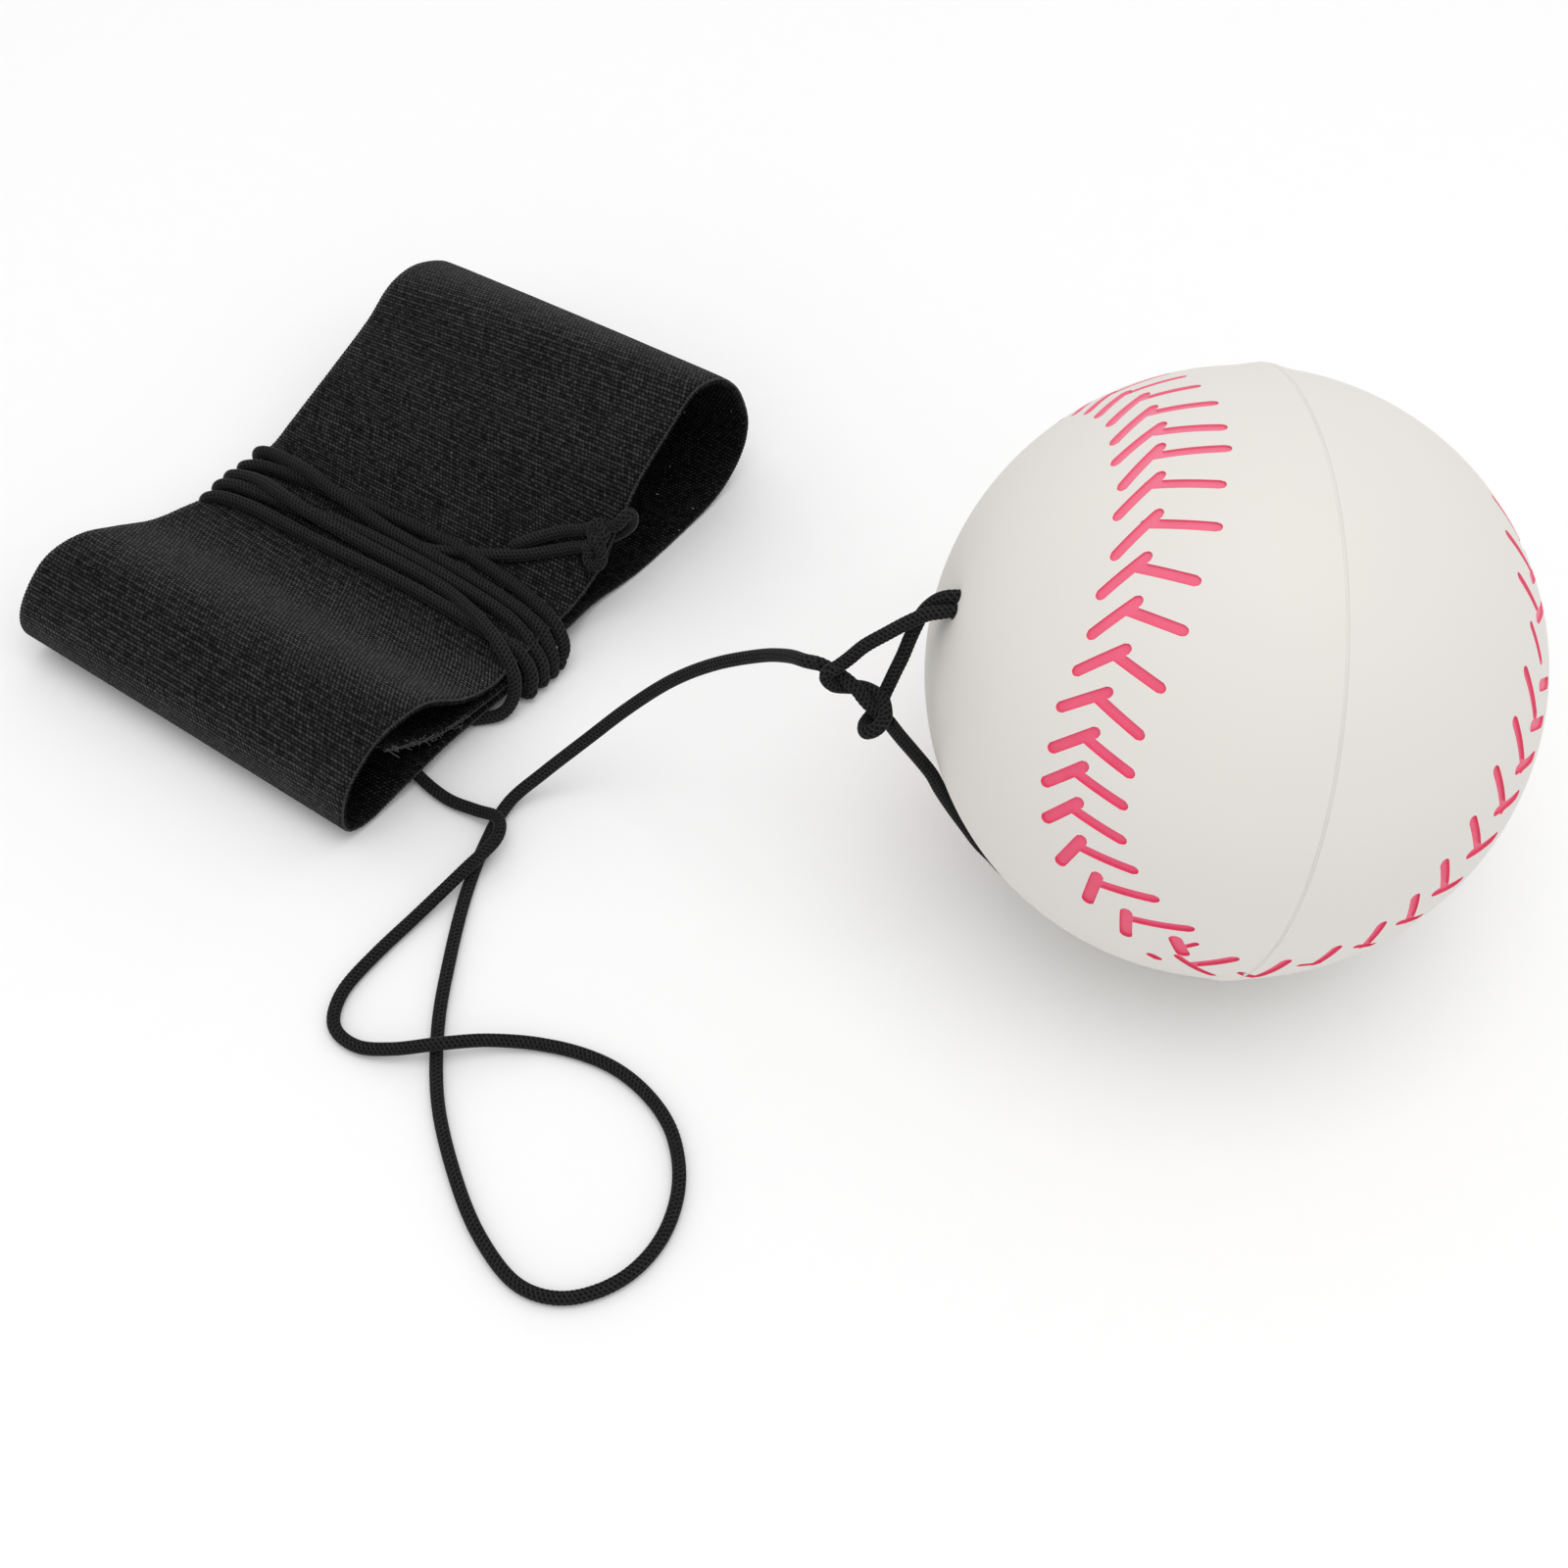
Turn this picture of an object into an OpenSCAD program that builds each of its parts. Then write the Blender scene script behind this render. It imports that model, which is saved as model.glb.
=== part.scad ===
// Wrist return ball: a hollow rubber ball on an elastic cord, with the cord wound round a fabric wristband.
// The wristband lies to -X and the ball to +X, both resting on z = 0. X runs along the wrist, Y along the
// flattened loop of the band, and the origin is under the middle of the band and the ball together.

/* [Layout] */
// Length of floor that the band and the ball take along X
layout_x = 154; // [130:1:190]
// Length of floor that the band and the ball take along Y
layout_y = 82; // [76:1:110]

/* [Ball] */
// Outside diameter of the ball
ball_d = 60; // [50:0.5:72]
// Wall of the hollow rubber shell
ball_wall = 5; // [3.5:0.1:7]
// Depth of the cord tunnel's middle under the ball's skin
tunnel_depth = 4.5; // [3.5:0.1:6]
// Rubber left round the tunnel inside the shell
tunnel_boss = 2.2; // [1.5:0.1:4]
// Width of the bond between the two halves of the shell
bond_t = 0.3; // [0.2:0.05:0.8]
// Height of the flash that stands out along the bond
bond_flash = 0.15; // [0.05:0.05:0.4]

/* [Cord] */
// Diameter of the elastic cord
cord_d = 1.4; // [1:0.1:1.8]
// Radial play of the cord in the tunnel
cord_play = 0.05; // [0.02:0.01:0.1]
// Turns of cord wound round the band's waist
wrap_turns = 5; // [3:1:6]
// Distance from one turn of cord to the next
turn_pitch = 2.38; // [1.9:0.02:2.6]

/* [Band] */
// Width of the fabric strip
band_w = 50; // [38:1:60]
// Thickness of the fabric strip
strap_t = 1.2; // [0.8:0.1:1.6]
// Distance from the waist to the end of the far lobe
lobe_a_reach = 42; // [36:1:50]
// Height of the far lobe
lobe_a_h = 22; // [18:0.5:28]
// Distance from the waist to the end of the near lobe
lobe_b_reach = 33; // [31:1:40]
// Height of the near lobe
lobe_b_h = 12; // [10:0.5:16]
// Length of flat strip past the turns of cord at each end
waist_past = 0.05; // [0.05:0.05:2]
// How far the turns of cord pull in the strip's far edge
pinch_far = 3; // [2:0.1:5]
// How far the turns of cord pull in the strip's edge next to the ball
pinch_near = 1; // [0.5:0.1:4]
// Length of the strip's loose inner end inside the near lobe
flap_len = 14; // [8:0.5:18]
// Rise of the strip's loose inner end
flap_rise = 2.2; // [0.5:0.1:3]

/* [Closing seam] */
// Thickness of the sewing thread
thread_t = 0.3; // [0.2:0.05:0.35]
// Length of one stitch
stitch_len = 3; // [2:0.1:4]
// Distance from one stitch to the next
stitch_pitch = 5; // [4.5:0.1:7]
// Distance between the two rows of stitches
seam_rows = 5; // [3:0.5:8]

/* [Hidden] */
$fn = 64;
fabric_colour = "#161617";
cord_colour = "#1b1b1d";
thread_colour = "#262628";
rubber_colour = "#e6e2db";
bond_colour = "#cfcac0";

// Places of the band and the ball
ball_r = ball_d / 2;
ball_at = [layout_x / 2 - ball_r, layout_y / 2 - ball_r, ball_r];
band_x = (band_w - layout_x) / 2;
band_edge = band_x + band_w / 2;
waist_y = lobe_b_reach - layout_y / 2;

// The ball's turn from its own frame, where the tunnel stands along Z on the +X side
ball_yaw = -24;
ball_tilt = -21;
ball_spin = -106;
// The bond's pole in the ball's own frame
bond_turn = -7;
bond_lift = 17;

// Tunnel
tunnel_off = ball_r - tunnel_depth;
tunnel_half = sqrt(ball_r * ball_r - tunnel_off * tunnel_off);
tunnel_r = cord_d / 2 + cord_play;
boss_r = tunnel_r + tunnel_boss;
mouth_rise = 0.3;
strand_half = tunnel_half + mouth_rise;

// Layers of the strip at the waist, from the floor up
cut_past = 1;
fit_gap = 0.1;
wrap_t = cord_d + fit_gap;
thread_room = thread_t + fit_gap;
z_outer = wrap_t + thread_room + strap_t / 2;
z_inner = z_outer + strap_t + fit_gap;
z_top = z_inner + strap_t + thread_room;
band_top = z_top + strap_t / 2;
wrap_len = wrap_turns * turn_pitch;
waist_half = wrap_len / 2 + waist_past;
notch_r = 50;
notch_sides = 128;
notch_rise = notch_r - sqrt(notch_r * notch_r - wrap_len * wrap_len / 4);
waist_w = band_w - pinch_far - pinch_near;
waist_x = band_x + (pinch_far - pinch_near) / 2;

// Centre line of the strip, in [y from the waist, z], from its loose inner end, round both lobes, to its
// outer end
function arc(c, rx, rz, span, step) =
    [for (a = [span[0] : step : span[1]]) c + [rx * cos(a), rz * sin(a)]];
function shift(points, by) = [for (p = points) p + by];

outer_tail = 2;
flap_bend = 0.35;
ramp_start = 3;
ramp_end = 12;
lobe_a_round = 12.5;
lobe_b_round = 10;
lobe_b_fold = 5.5;
lobe_a_arc = [-90, 110];
lobe_b_arc = [80, 165];
fold_b_arc = [180, 265];
arc_step = 20;
fold_step = 17;
lobe_a_mid = [lobe_a_reach - strap_t / 2 - lobe_a_round, lobe_a_h / 2];
lobe_b_mid = [lobe_b_round + strap_t / 2 - lobe_b_reach, lobe_b_h / 2];
lobe_b_low = [lobe_b_fold + strap_t / 2 - lobe_b_reach, lobe_b_h / 2];
neck_a = [[11, 9], [7, 3.2], [4, 1]];
neck_b = [[-4, 1.2], [-8, 3.4]];
heel_b = [[-18, -0.9], [-15, 0], [-10, 0.1]];
strip_path = concat(
    [[-waist_half - flap_len, z_inner + flap_rise],
     [-waist_half - flap_len / 2, z_inner + flap_rise * flap_bend],
     [-waist_half, z_inner], [0, z_inner], [waist_half + ramp_start, z_inner],
     [waist_half + (ramp_start + ramp_end) / 2, (z_inner + strap_t / 2) / 2],
     [waist_half + ramp_end, strap_t / 2]],
    arc(lobe_a_mid, lobe_a_round, (lobe_a_h - strap_t) / 2, lobe_a_arc, arc_step),
    shift(neck_a, [waist_half, z_top]),
    [[waist_half, z_top], [0, z_top], [-waist_half, z_top]],
    shift(neck_b, [-waist_half, z_top]),
    arc(lobe_b_mid, lobe_b_round, (lobe_b_h - strap_t) / 2, lobe_b_arc, fold_step),
    arc(lobe_b_low, lobe_b_fold, (lobe_b_h - strap_t) / 2, fold_b_arc, fold_step),
    shift(heel_b, [-waist_half, z_outer]),
    [[-waist_half, z_outer], [0, z_outer], [waist_half + outer_tail, z_outer]]);

// A smooth line through points, with a few steps between each two
function blend(a, b, c, d, t) =
    0.5 * (2 * b + (c - a) * t + (2 * a - 5 * b + 4 * c - d) * t * t + (3 * b - a - 3 * c + d) * t * t * t);
function smooth(points, steps) = let (last = len(points) - 1)
    concat([for (i = [0 : last - 1], k = [0 : steps - 1])
        blend(points[max(i - 1, 0)], points[i], points[i + 1], points[min(i + 2, last)], k / steps)],
        [points[last]]);
function unit(v) = v / norm(v);
function heading(points, i) = unit(points[min(i + 1, len(points) - 1)] - points[max(i - 1, 0)]);

strip_line = [for (p = smooth(strip_path, 3)) [p.x, max(p.y, strap_t / 2)]];

// Both faces of a strip of even thickness along a line in the plane
function strip_outline(line, t) = let (
    side = [for (i = [0 : len(line) - 1]) let (h = heading(line, i)) [-h.y, h.x] * t / 2])
    concat([for (i = [0 : len(line) - 1]) line[i] + side[i]],
        [for (i = [len(line) - 1 : -1 : 0]) line[i] - side[i]]);

// From the ball's own frame to the part's
function turn_z(p, a) = [p.x * cos(a) - p.y * sin(a), p.x * sin(a) + p.y * cos(a), p.z];
function turn_y(p, a) = [p.x * cos(a) + p.z * sin(a), p.y, p.z * cos(a) - p.x * sin(a)];
function on_ball(p) = ball_at + turn_z(turn_y(turn_z(p, ball_spin), ball_tilt), ball_yaw);
function tunnel_point(z) = on_ball([tunnel_off, 0, z]);
// A point beside the tunnel, with its height as a share of the strand's half length
function by_tunnel(p) = on_ball([tunnel_off + p.x, p.y, p.z * strand_half]);
// A point at the band, from the edge next to the ball, the waist and a cord that lies on the waist
function by_band(p) = [band_edge, waist_y, band_top + cord_d / 2] + p;

// Route of the free cord, from the turns on the band, over the floor, to the knot at the ball
run_lead = [[-6, -wrap_len / 2, 0.8], [-6, -8, 0.8], [-6, -12, 0.8], [-5.5, -16, 0.8], [-3.5, -19.5, 0.8],
    [0, -21.3, 0.8]];
run_free = [[-23, -29.8, 0.8], [-19.5, -29.4, 1.2], [-16.3, -29.5, 2.3], [-14.5, -32, 2.6],
    [-14.8, -37, 2.3], [-15.8, -43.5, 1], [-16.3, -50, 0.7], [-16, -55.5, 0.7], [-14, -59, 0.7],
    [-10.5, -59.6, 0.8], [-6.8, -58, 1.5], [-2.7, -55, 2.4], [0.8, -51.5, 1.6], [5.5, -48.3, 0.7],
    [11.5, -46.6, 0.7], [17, -47, 0.7], [22, -49.2, 0.7], [26, -53.5, 0.7], [28, -59, 0.7],
    [27.5, -64.5, 0.7], [24.5, -69, 0.7], [20, -70.7, 0.7], [14.5, -69.3, 0.7], [8.5, -66, 0.7],
    [1, -60.2, 0.7], [-5, -53.2, 0.7], [-9.5, -46, 0.7], [-13.5, -38.5, 0.7], [-16.3, -31.5, 0.7],
    [-17.3, -26.5, 1.2], [-15.5, -22.5, 3.5], [-12.3, -18.5, 7.5], [-8.5, -15.2, 12.5], [-4, -13.2, 18],
    [1, -12.2, 23], [6.5, -11.8, 27.5]];
run_end = [[14.726, -10.346, 0.568], [12.195, -5.803, 0.587]];
run_route = concat([for (p = run_lead) p + [band_edge, waist_y, 0]], run_free,
    [for (p = run_end) by_tunnel(p)]);
// The knot's three bulges, with their sizes in cord diameters
knot_bight = by_tunnel([11.473, -4.32, 0.568]);
knot_mid = by_tunnel([10.069, -2.966, 0.461]);
knot_low = by_tunnel([9.922, -1.83, 0.328]);
bight_size = 1;
mid_size = 1.6;
low_size = 1.4;
// The cord leaves each mouth along the tunnel and turns back towards the knot
mouth_step = 0.4;
bend_r = 2.8;
bend_step = 30;
bend_end = 150;
loop_turn = -16;
function hairpin(way) = concat([tunnel_point(way * strand_half)],
    [for (a = [0 : bend_step : bend_end]) let (out = bend_r * (1 - cos(a)))
        on_ball([tunnel_off + out * cos(loop_turn), out * sin(loop_turn),
            way * (strand_half + mouth_step + bend_r * sin(a))])]);
upper_end = [[6.246, -2.043, 1.02], [7.861, -2.628, 0.845], [9.622, -3.099, 0.535]];
lower_end = [[5.634, -1.705, -0.967], [6.858, -1.365, -0.687], [8.497, -1.439, -0.209],
    [9.688, -1.752, 0.271]];
tail_points = [[11.055, -4.556, 0.624], [9.502, -5.177, 0.801], [7.062, -5.142, 0.944],
    [4.51, -4.568, 1.02], [2.811, -3.654, 1.041]];
upper_route = concat(hairpin(1), [for (p = upper_end) by_tunnel(p)]);
lower_route = concat(hairpin(-1), [for (p = lower_end) by_tunnel(p)]);
tail_route = [for (p = tail_points) by_tunnel(p)];
// Routes of the two strands from the turns to the knot at the band's edge
tie_points_a = [[-14, wrap_len / 2, 0.2], [-13.4, 7.6, 0.5], [-10.5, 9.6, 2.3], [-7, 10.8, 4.3],
    [-3.5, 11.4, 5.5]];
tie_points_b = [[-10, wrap_len / 2, 0.2], [-9.6, 7, 0.3], [-7.5, 8.2, 1.2], [-5, 9.4, 2.9],
    [-3.2, 11, 4.7]];
tie_route_a = [for (p = tie_points_a) by_band(p)];
tie_route_b = [for (p = tie_points_b) by_band(p)];
band_knot_at = by_band([-2.6, 11.4, 5.5]);
band_knot_r = 2.2;
cord_sides = 8;
knot_sides = 24;

// A tube along a line in space, with flat ends
function ring(at, along, r) = let (
    side = unit(cross(along, abs(along.z) < 0.9 ? [0, 0, 1] : [1, 0, 0])),
    over = cross(side, along))
    [for (k = [0 : cord_sides - 1]) let (a = 360 * k / cord_sides) at + r * (cos(a) * side + sin(a) * over)];
module tube(line, d) {
    last = len(line) - 1;
    points = [for (i = [0 : last]) each ring(line[i], heading(line, i), d / 2)];
    sides = [for (i = [0 : last - 1], k = [0 : cord_sides - 1]) let (
        a = i * cord_sides + k, b = i * cord_sides + (k + 1) % cord_sides)
        each [[a, b, b + cord_sides], [a, b + cord_sides, a + cord_sides]]];
    caps = [[for (k = [cord_sides - 1 : -1 : 0]) k], [for (k = [0 : cord_sides - 1]) last * cord_sides + k]];
    polyhedron(points, concat(sides, caps), convexity = 10);
}

module place_ball() {
    translate(ball_at) rotate([0, 0, ball_yaw]) rotate([0, ball_tilt, 0]) rotate([0, 0, ball_spin])
        children();
}
// Lays what is turned about Z so that it is turned about the bond's pole
module along_bond() {
    rotate([0, 0, bond_turn]) rotate([0, 90 - bond_lift, 0]) children();
}
module half_shell() {
    rotate_extrude() intersection() {
        difference() {
            circle(ball_r);
            circle(ball_r - ball_wall);
        }
        translate([0, bond_t / 2]) square(ball_r + cut_past);
    }
}
module tunnel_rod(r, half) {
    translate([tunnel_off, 0, -half]) cylinder(r = r, h = 2 * half);
}
module rounded_plate(w, h, r) {
    square([w - 2 * r, h], center = true);
    square([w, h - 2 * r], center = true);
    for (x = [-1, 1], y = [-1, 1]) translate([x * (w / 2 - r), y * (h / 2 - r)]) circle(r);
}

module band_strap() {
    color(fabric_colour) difference() {
        translate([band_x - band_w / 2, waist_y, 0]) rotate([90, 0, 90])
            linear_extrude(band_w) polygon(strip_outline(strip_line, strap_t));
        for (side = [-1, 1])
            translate([waist_x + side * (waist_w / 2 + notch_r), waist_y, -cut_past])
                cylinder(r = notch_r, h = lobe_a_h + 2 * cut_past, $fn = notch_sides);
    }
}

module closing_stitches() {
    seam_h = 2 * strap_t + fit_gap + 2 * thread_t;
    seam_low = z_outer - strap_t / 2 - thread_t;
    room = waist_w - 2 * stitch_len;
    count = floor(room / stitch_pitch);
    color(thread_colour) for (row = [-0.5, 0.5], i = [0 : count])
        translate([waist_x + (i - count / 2) * stitch_pitch, waist_y + row * seam_rows,
            seam_low + seam_h / 2]) difference() {
            cube([stitch_len, thread_t, seam_h], center = true);
            cube([stitch_len - 2 * thread_t, thread_t + cut_past, seam_h - 2 * thread_t], center = true);
        }
}

module cord_wrap() {
    inner_w = waist_w + 2 * (notch_rise + fit_gap);
    inner_h = z_top + strap_t / 2 + fit_gap - wrap_t;
    color(cord_colour) translate([waist_x, waist_y + wrap_len / 2, wrap_t + inner_h / 2])
        rotate([90, 0, 0]) linear_extrude(wrap_len) difference() {
            rounded_plate(inner_w + 2 * wrap_t, inner_h + 2 * wrap_t, wrap_t);
            square([inner_w, inner_h], center = true);
        }
}

module tie_strands() {
    color(cord_colour) {
        tube(smooth(tie_route_a, 2), cord_d);
        tube(smooth(tie_route_b, 2), cord_d);
    }
}

module band_knot() {
    color(cord_colour) translate(band_knot_at) sphere(band_knot_r);
}

module cord_run() {
    color(cord_colour) tube([for (p = smooth(run_route, 2)) [p.x, p.y, max(p.z, cord_d / 2)]], cord_d);
}

module ball_knot() {
    color(cord_colour) hull() {
        translate(knot_bight) sphere(cord_d * bight_size, $fn = knot_sides);
        translate(knot_mid) sphere(cord_d * mid_size, $fn = knot_sides);
        translate(knot_low) sphere(cord_d * low_size, $fn = knot_sides);
    }
}

module loop_upper() {
    color(cord_colour) tube(smooth(upper_route, 3), cord_d);
}

module loop_lower() {
    color(cord_colour) tube(smooth(lower_route, 3), cord_d);
}

module knot_tail() {
    color(cord_colour) tube(smooth(tail_route, 3), cord_d);
}

module tunnel_strand() {
    color(cord_colour) place_ball() tunnel_rod(cord_d / 2, strand_half);
}

module ball_half_tunnel() {
    color(rubber_colour) place_ball() difference() {
        union() {
            along_bond() half_shell();
            intersection() {
                tunnel_rod(boss_r, ball_r);
                sphere(ball_r - ball_wall / 2);
            }
        }
        tunnel_rod(tunnel_r, ball_r);
    }
}

module ball_half_plain() {
    color(rubber_colour) place_ball() along_bond() mirror([0, 0, 1]) half_shell();
}

module ball_bond() {
    inner = ball_r - ball_wall;
    color(bond_colour) place_ball() along_bond() rotate_extrude()
        polygon([[inner, -bond_t / 2], [ball_r, -bond_t / 2], [ball_r + bond_flash, 0], [ball_r, bond_t / 2],
            [inner, bond_t / 2]]);
}

band_strap();
closing_stitches();
cord_wrap();
tie_strands();
band_knot();
cord_run();
ball_knot();
loop_upper();
loop_lower();
knot_tail();
tunnel_strand();
ball_half_tunnel();
ball_half_plain();
ball_bond();
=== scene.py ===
import math

import bmesh
import bpy
import numpy as np
from mathutils import Matrix, Vector


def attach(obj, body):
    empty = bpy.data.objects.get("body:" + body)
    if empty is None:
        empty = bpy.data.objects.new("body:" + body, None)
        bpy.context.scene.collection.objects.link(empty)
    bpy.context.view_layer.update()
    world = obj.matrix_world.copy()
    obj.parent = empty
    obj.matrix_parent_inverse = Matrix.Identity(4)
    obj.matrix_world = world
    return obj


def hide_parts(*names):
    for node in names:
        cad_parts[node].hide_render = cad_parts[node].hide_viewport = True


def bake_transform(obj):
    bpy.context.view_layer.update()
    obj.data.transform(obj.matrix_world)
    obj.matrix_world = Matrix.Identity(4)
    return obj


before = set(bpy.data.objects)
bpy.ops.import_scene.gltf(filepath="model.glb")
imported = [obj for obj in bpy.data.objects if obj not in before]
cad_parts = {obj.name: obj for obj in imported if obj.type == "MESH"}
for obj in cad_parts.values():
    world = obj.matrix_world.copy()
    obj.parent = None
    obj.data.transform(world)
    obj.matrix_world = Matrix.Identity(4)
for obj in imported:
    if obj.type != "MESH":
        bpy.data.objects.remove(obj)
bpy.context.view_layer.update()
mm = 0.001
print("frame loaded:", len(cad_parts), "nodes")


class Plug:
    # one output socket, so that sums on it read as plain Python
    def __init__(self, tree, socket=None):
        self.tree, self.socket = tree, socket

    def add(self, kind, inputs=None, out=0, **settings):
        node = self.tree.nodes.new(kind)
        for name, value in settings.items():
            setattr(node, name, value)
        for name, value in (inputs or {}).items():
            if isinstance(value, Plug):
                self.tree.links.new(value.socket, node.inputs[name])
            else:
                node.inputs[name].default_value = value
        return Plug(self.tree, node.outputs[out])

    def pick(self, name):  # another output of the same node
        return Plug(self.tree, self.socket.node.outputs[name])

    def sum(self, operation, *values):
        return self.add("ShaderNodeMath", dict(enumerate(values)), operation=operation)

    def vector(self, operation, inputs=None):
        return self.add("ShaderNodeVectorMath", {0: self, **(inputs or {})}, operation=operation)

    def scaled(self, factor):
        return self.vector("SCALE", {"Scale": factor})

    def axes(self):
        return self.add("ShaderNodeSeparateXYZ", {0: self})

    def mix(self, low, high):  # self is the share of high
        return self.add("ShaderNodeMix", {0: self, 6: low, 7: high}, 2, data_type="RGBA")

    def noise(self, scale, detail=2.0):  # self is the place where it is read
        return self.add("ShaderNodeTexNoise", {"Vector": self, "Scale": scale, "Detail": detail})

    def keep(self, name, value):  # self is a shape, and each of its points keeps the value
        return self.add("GeometryNodeStoreNamedAttribute", {0: self, "Name": name, "Value": value},
                        data_type="FLOAT", domain="POINT")

    def recall(self, name, kind="FLOAT"):
        return self.add("GeometryNodeInputNamedAttribute", {"Name": name}, data_type=kind)

    def into(self, node, name):
        self.tree.links.new(self.socket, node.inputs[name])

    def __add__(self, other):
        return self.sum("ADD", self, other)

    def __sub__(self, other):
        return self.sum("SUBTRACT", self, other)

    def __rsub__(self, other):
        return self.sum("SUBTRACT", other, self)

    def __mul__(self, other):
        return self.sum("MULTIPLY", self, other)

    def __truediv__(self, other):
        return self.sum("DIVIDE", self, other)

    __radd__, __rmul__ = __add__, __mul__


# shared shape helpers, all in millimetres


def smoothLine(points, steps=8):
    points = np.array(points, float)
    last = len(points) - 1
    line = []
    for i in range(last):
        a, b, c, d = (points[min(max(i + k, 0), last)] for k in (-1, 0, 1, 2))
        for t in np.arange(steps) / steps:
            bend = (2 * a - 5 * b + 4 * c - d) * t**2 + (3 * b - a - 3 * c + d) * t**3
            line.append(0.5 * (2 * b + (c - a) * t + bend))
    return np.array(line + [points[-1]])


def lineMesh(name, lines):
    points, edges = [], []
    for line in lines:
        first = len(points)
        points += [tuple(p) for p in line]
        edges += [(first + i, first + i + 1) for i in range(len(line) - 1)]
    return plainMesh(name, points, edges=edges)


def lineLength(line):
    return float(np.linalg.norm(np.diff(line, axis=0), axis=1).sum())


def runAlong(line):
    # how far along the line each of its points lies
    return np.concatenate([[0], np.cumsum(np.linalg.norm(np.diff(line, axis=0), axis=1))])


def addPiece(name, mesh, finish=None):
    piece = bpy.data.objects.new(name, mesh)
    bpy.context.scene.collection.objects.link(piece)
    if finish:
        mesh.materials.clear()
        mesh.materials.append(finish)
    return piece


def plainMesh(name, points, faces=(), edges=()):
    mesh = bpy.data.meshes.new(name)
    mesh.from_pydata([tuple(float(v) * mm for v in p) for p in points], list(edges), list(faces))
    mesh.update()
    return mesh


def workedMesh(name, work):
    mesh = bpy.data.meshes.new(name)
    work.to_mesh(mesh)
    work.free()
    return mesh


def setPointData(mesh, name, values, kind="FLOAT"):
    field = "value" if kind == "FLOAT" else "vector"
    spot = mesh.attributes.new(name, kind, "POINT")
    spot.data.foreach_set(field, np.array(values, np.float32).ravel())


def finishedMesh(piece):
    # the evaluated shape as a plain mesh, without the modifiers that made it
    shape = piece.evaluated_get(bpy.context.evaluated_depsgraph_get())
    mesh = bpy.data.meshes.new_from_object(shape)
    piece.modifiers.clear()
    return mesh


def faceOutwards(mesh):
    work = bmesh.new()
    work.from_mesh(mesh)
    bmesh.ops.recalc_face_normals(work, faces=work.faces)
    work.to_mesh(mesh)
    work.free()


def newTree(name, **inputs):
    # plugs for the tree's geometry and for its other inputs, in their order
    tree = bpy.data.node_groups.new(name, "GeometryNodeTree")
    tree.interface.new_socket("Geometry", in_out="OUTPUT", socket_type="NodeSocketGeometry")
    for label, kind in {"Geometry": "Geometry", **inputs}.items():
        tree.interface.new_socket(label, in_out="INPUT", socket_type="NodeSocket" + kind)
    plug = Plug(tree, tree.nodes.new("NodeGroupInput").outputs[0])
    return [plug] + [plug.pick(label) for label in inputs]


def endTree(plug, finish):
    plug = plug.add("GeometryNodeRealizeInstances", {0: plug})
    plug = plug.add("GeometryNodeSetMaterial", {0: plug, "Material": finish})
    out = plug.tree.nodes.new("NodeGroupOutput")
    plug.into(out, 0)
    return plug.tree


def runTree(name, mesh, tree, **values):
    # a new piece from the tree's result on a carrier mesh
    carrier = addPiece(name + "Carrier", mesh)
    modifier = carrier.modifiers.new(tree.name, "NODES")
    modifier.node_group = tree
    for item in tree.interface.items_tree:
        if item.in_out == "INPUT" and item.name in values:
            modifier[item.identifier] = values[item.name]
    result = finishedMesh(carrier)
    bpy.data.objects.remove(carrier)
    result.name = name
    faceOutwards(result)
    return addPiece(name, result)


def seat(piece, body, slot, *nodes):
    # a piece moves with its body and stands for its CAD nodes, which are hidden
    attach(piece, body)
    if nodes:
        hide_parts(*nodes)


# camera, floor and light

view = {  # the camera, fitted to the photograph
    "place": (96.42, -136.13, 202.91),
    "look": (-0.3531, 0.5043, -0.7880),
    "right": (0.8192, 0.5736, 0.0),
    "lens": 53.03,
    "sensor": 36.0,
    "nearest": 10.0,  # nothing nearer than this is drawn
}
studio = {"dome": 0.83, "keyPlace": (120, -60, 780), "keyAim": (0, 0, 10), "keySize": 600, "keyPower": 2.0}
floor = {
    "tone": (0.93, 0.93, 0.93),
    "grain": 0.99,  # the grain's share of that tone
    "grainScale": 900.0,
    "rough": 0.9,
    "gloss": 0.1,
    "size": 4000,
    "height": -0.05,
}


def makeCamera():
    right, look = Vector(view["right"]).normalized(), Vector(view["look"]).normalized()
    turn = Matrix((right, right.cross(look), -look)).transposed()
    lens = bpy.data.cameras.new("photoCamera")
    lens.lens, lens.sensor_width, lens.clip_start = view["lens"], view["sensor"], view["nearest"] * mm
    camera = bpy.data.objects.new("photoCamera", lens)
    bpy.context.scene.collection.objects.link(camera)
    camera.matrix_world = Matrix.Translation(Vector(view["place"]) * mm) @ turn.to_4x4()
    bpy.context.scene.camera = camera


def makeKeyLight():
    lamp = bpy.data.lights.new("keyLight", "AREA")
    lamp.size, lamp.energy = studio["keySize"] * mm, studio["keyPower"]
    light = bpy.data.objects.new("keyLight", lamp)
    bpy.context.scene.collection.objects.link(light)
    place = Vector(studio["keyPlace"])
    turn = (Vector(studio["keyAim"]) - place).to_track_quat("-Z", "Y").to_matrix().to_4x4()
    light.matrix_world = Matrix.Translation(place * mm) @ turn


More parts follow.
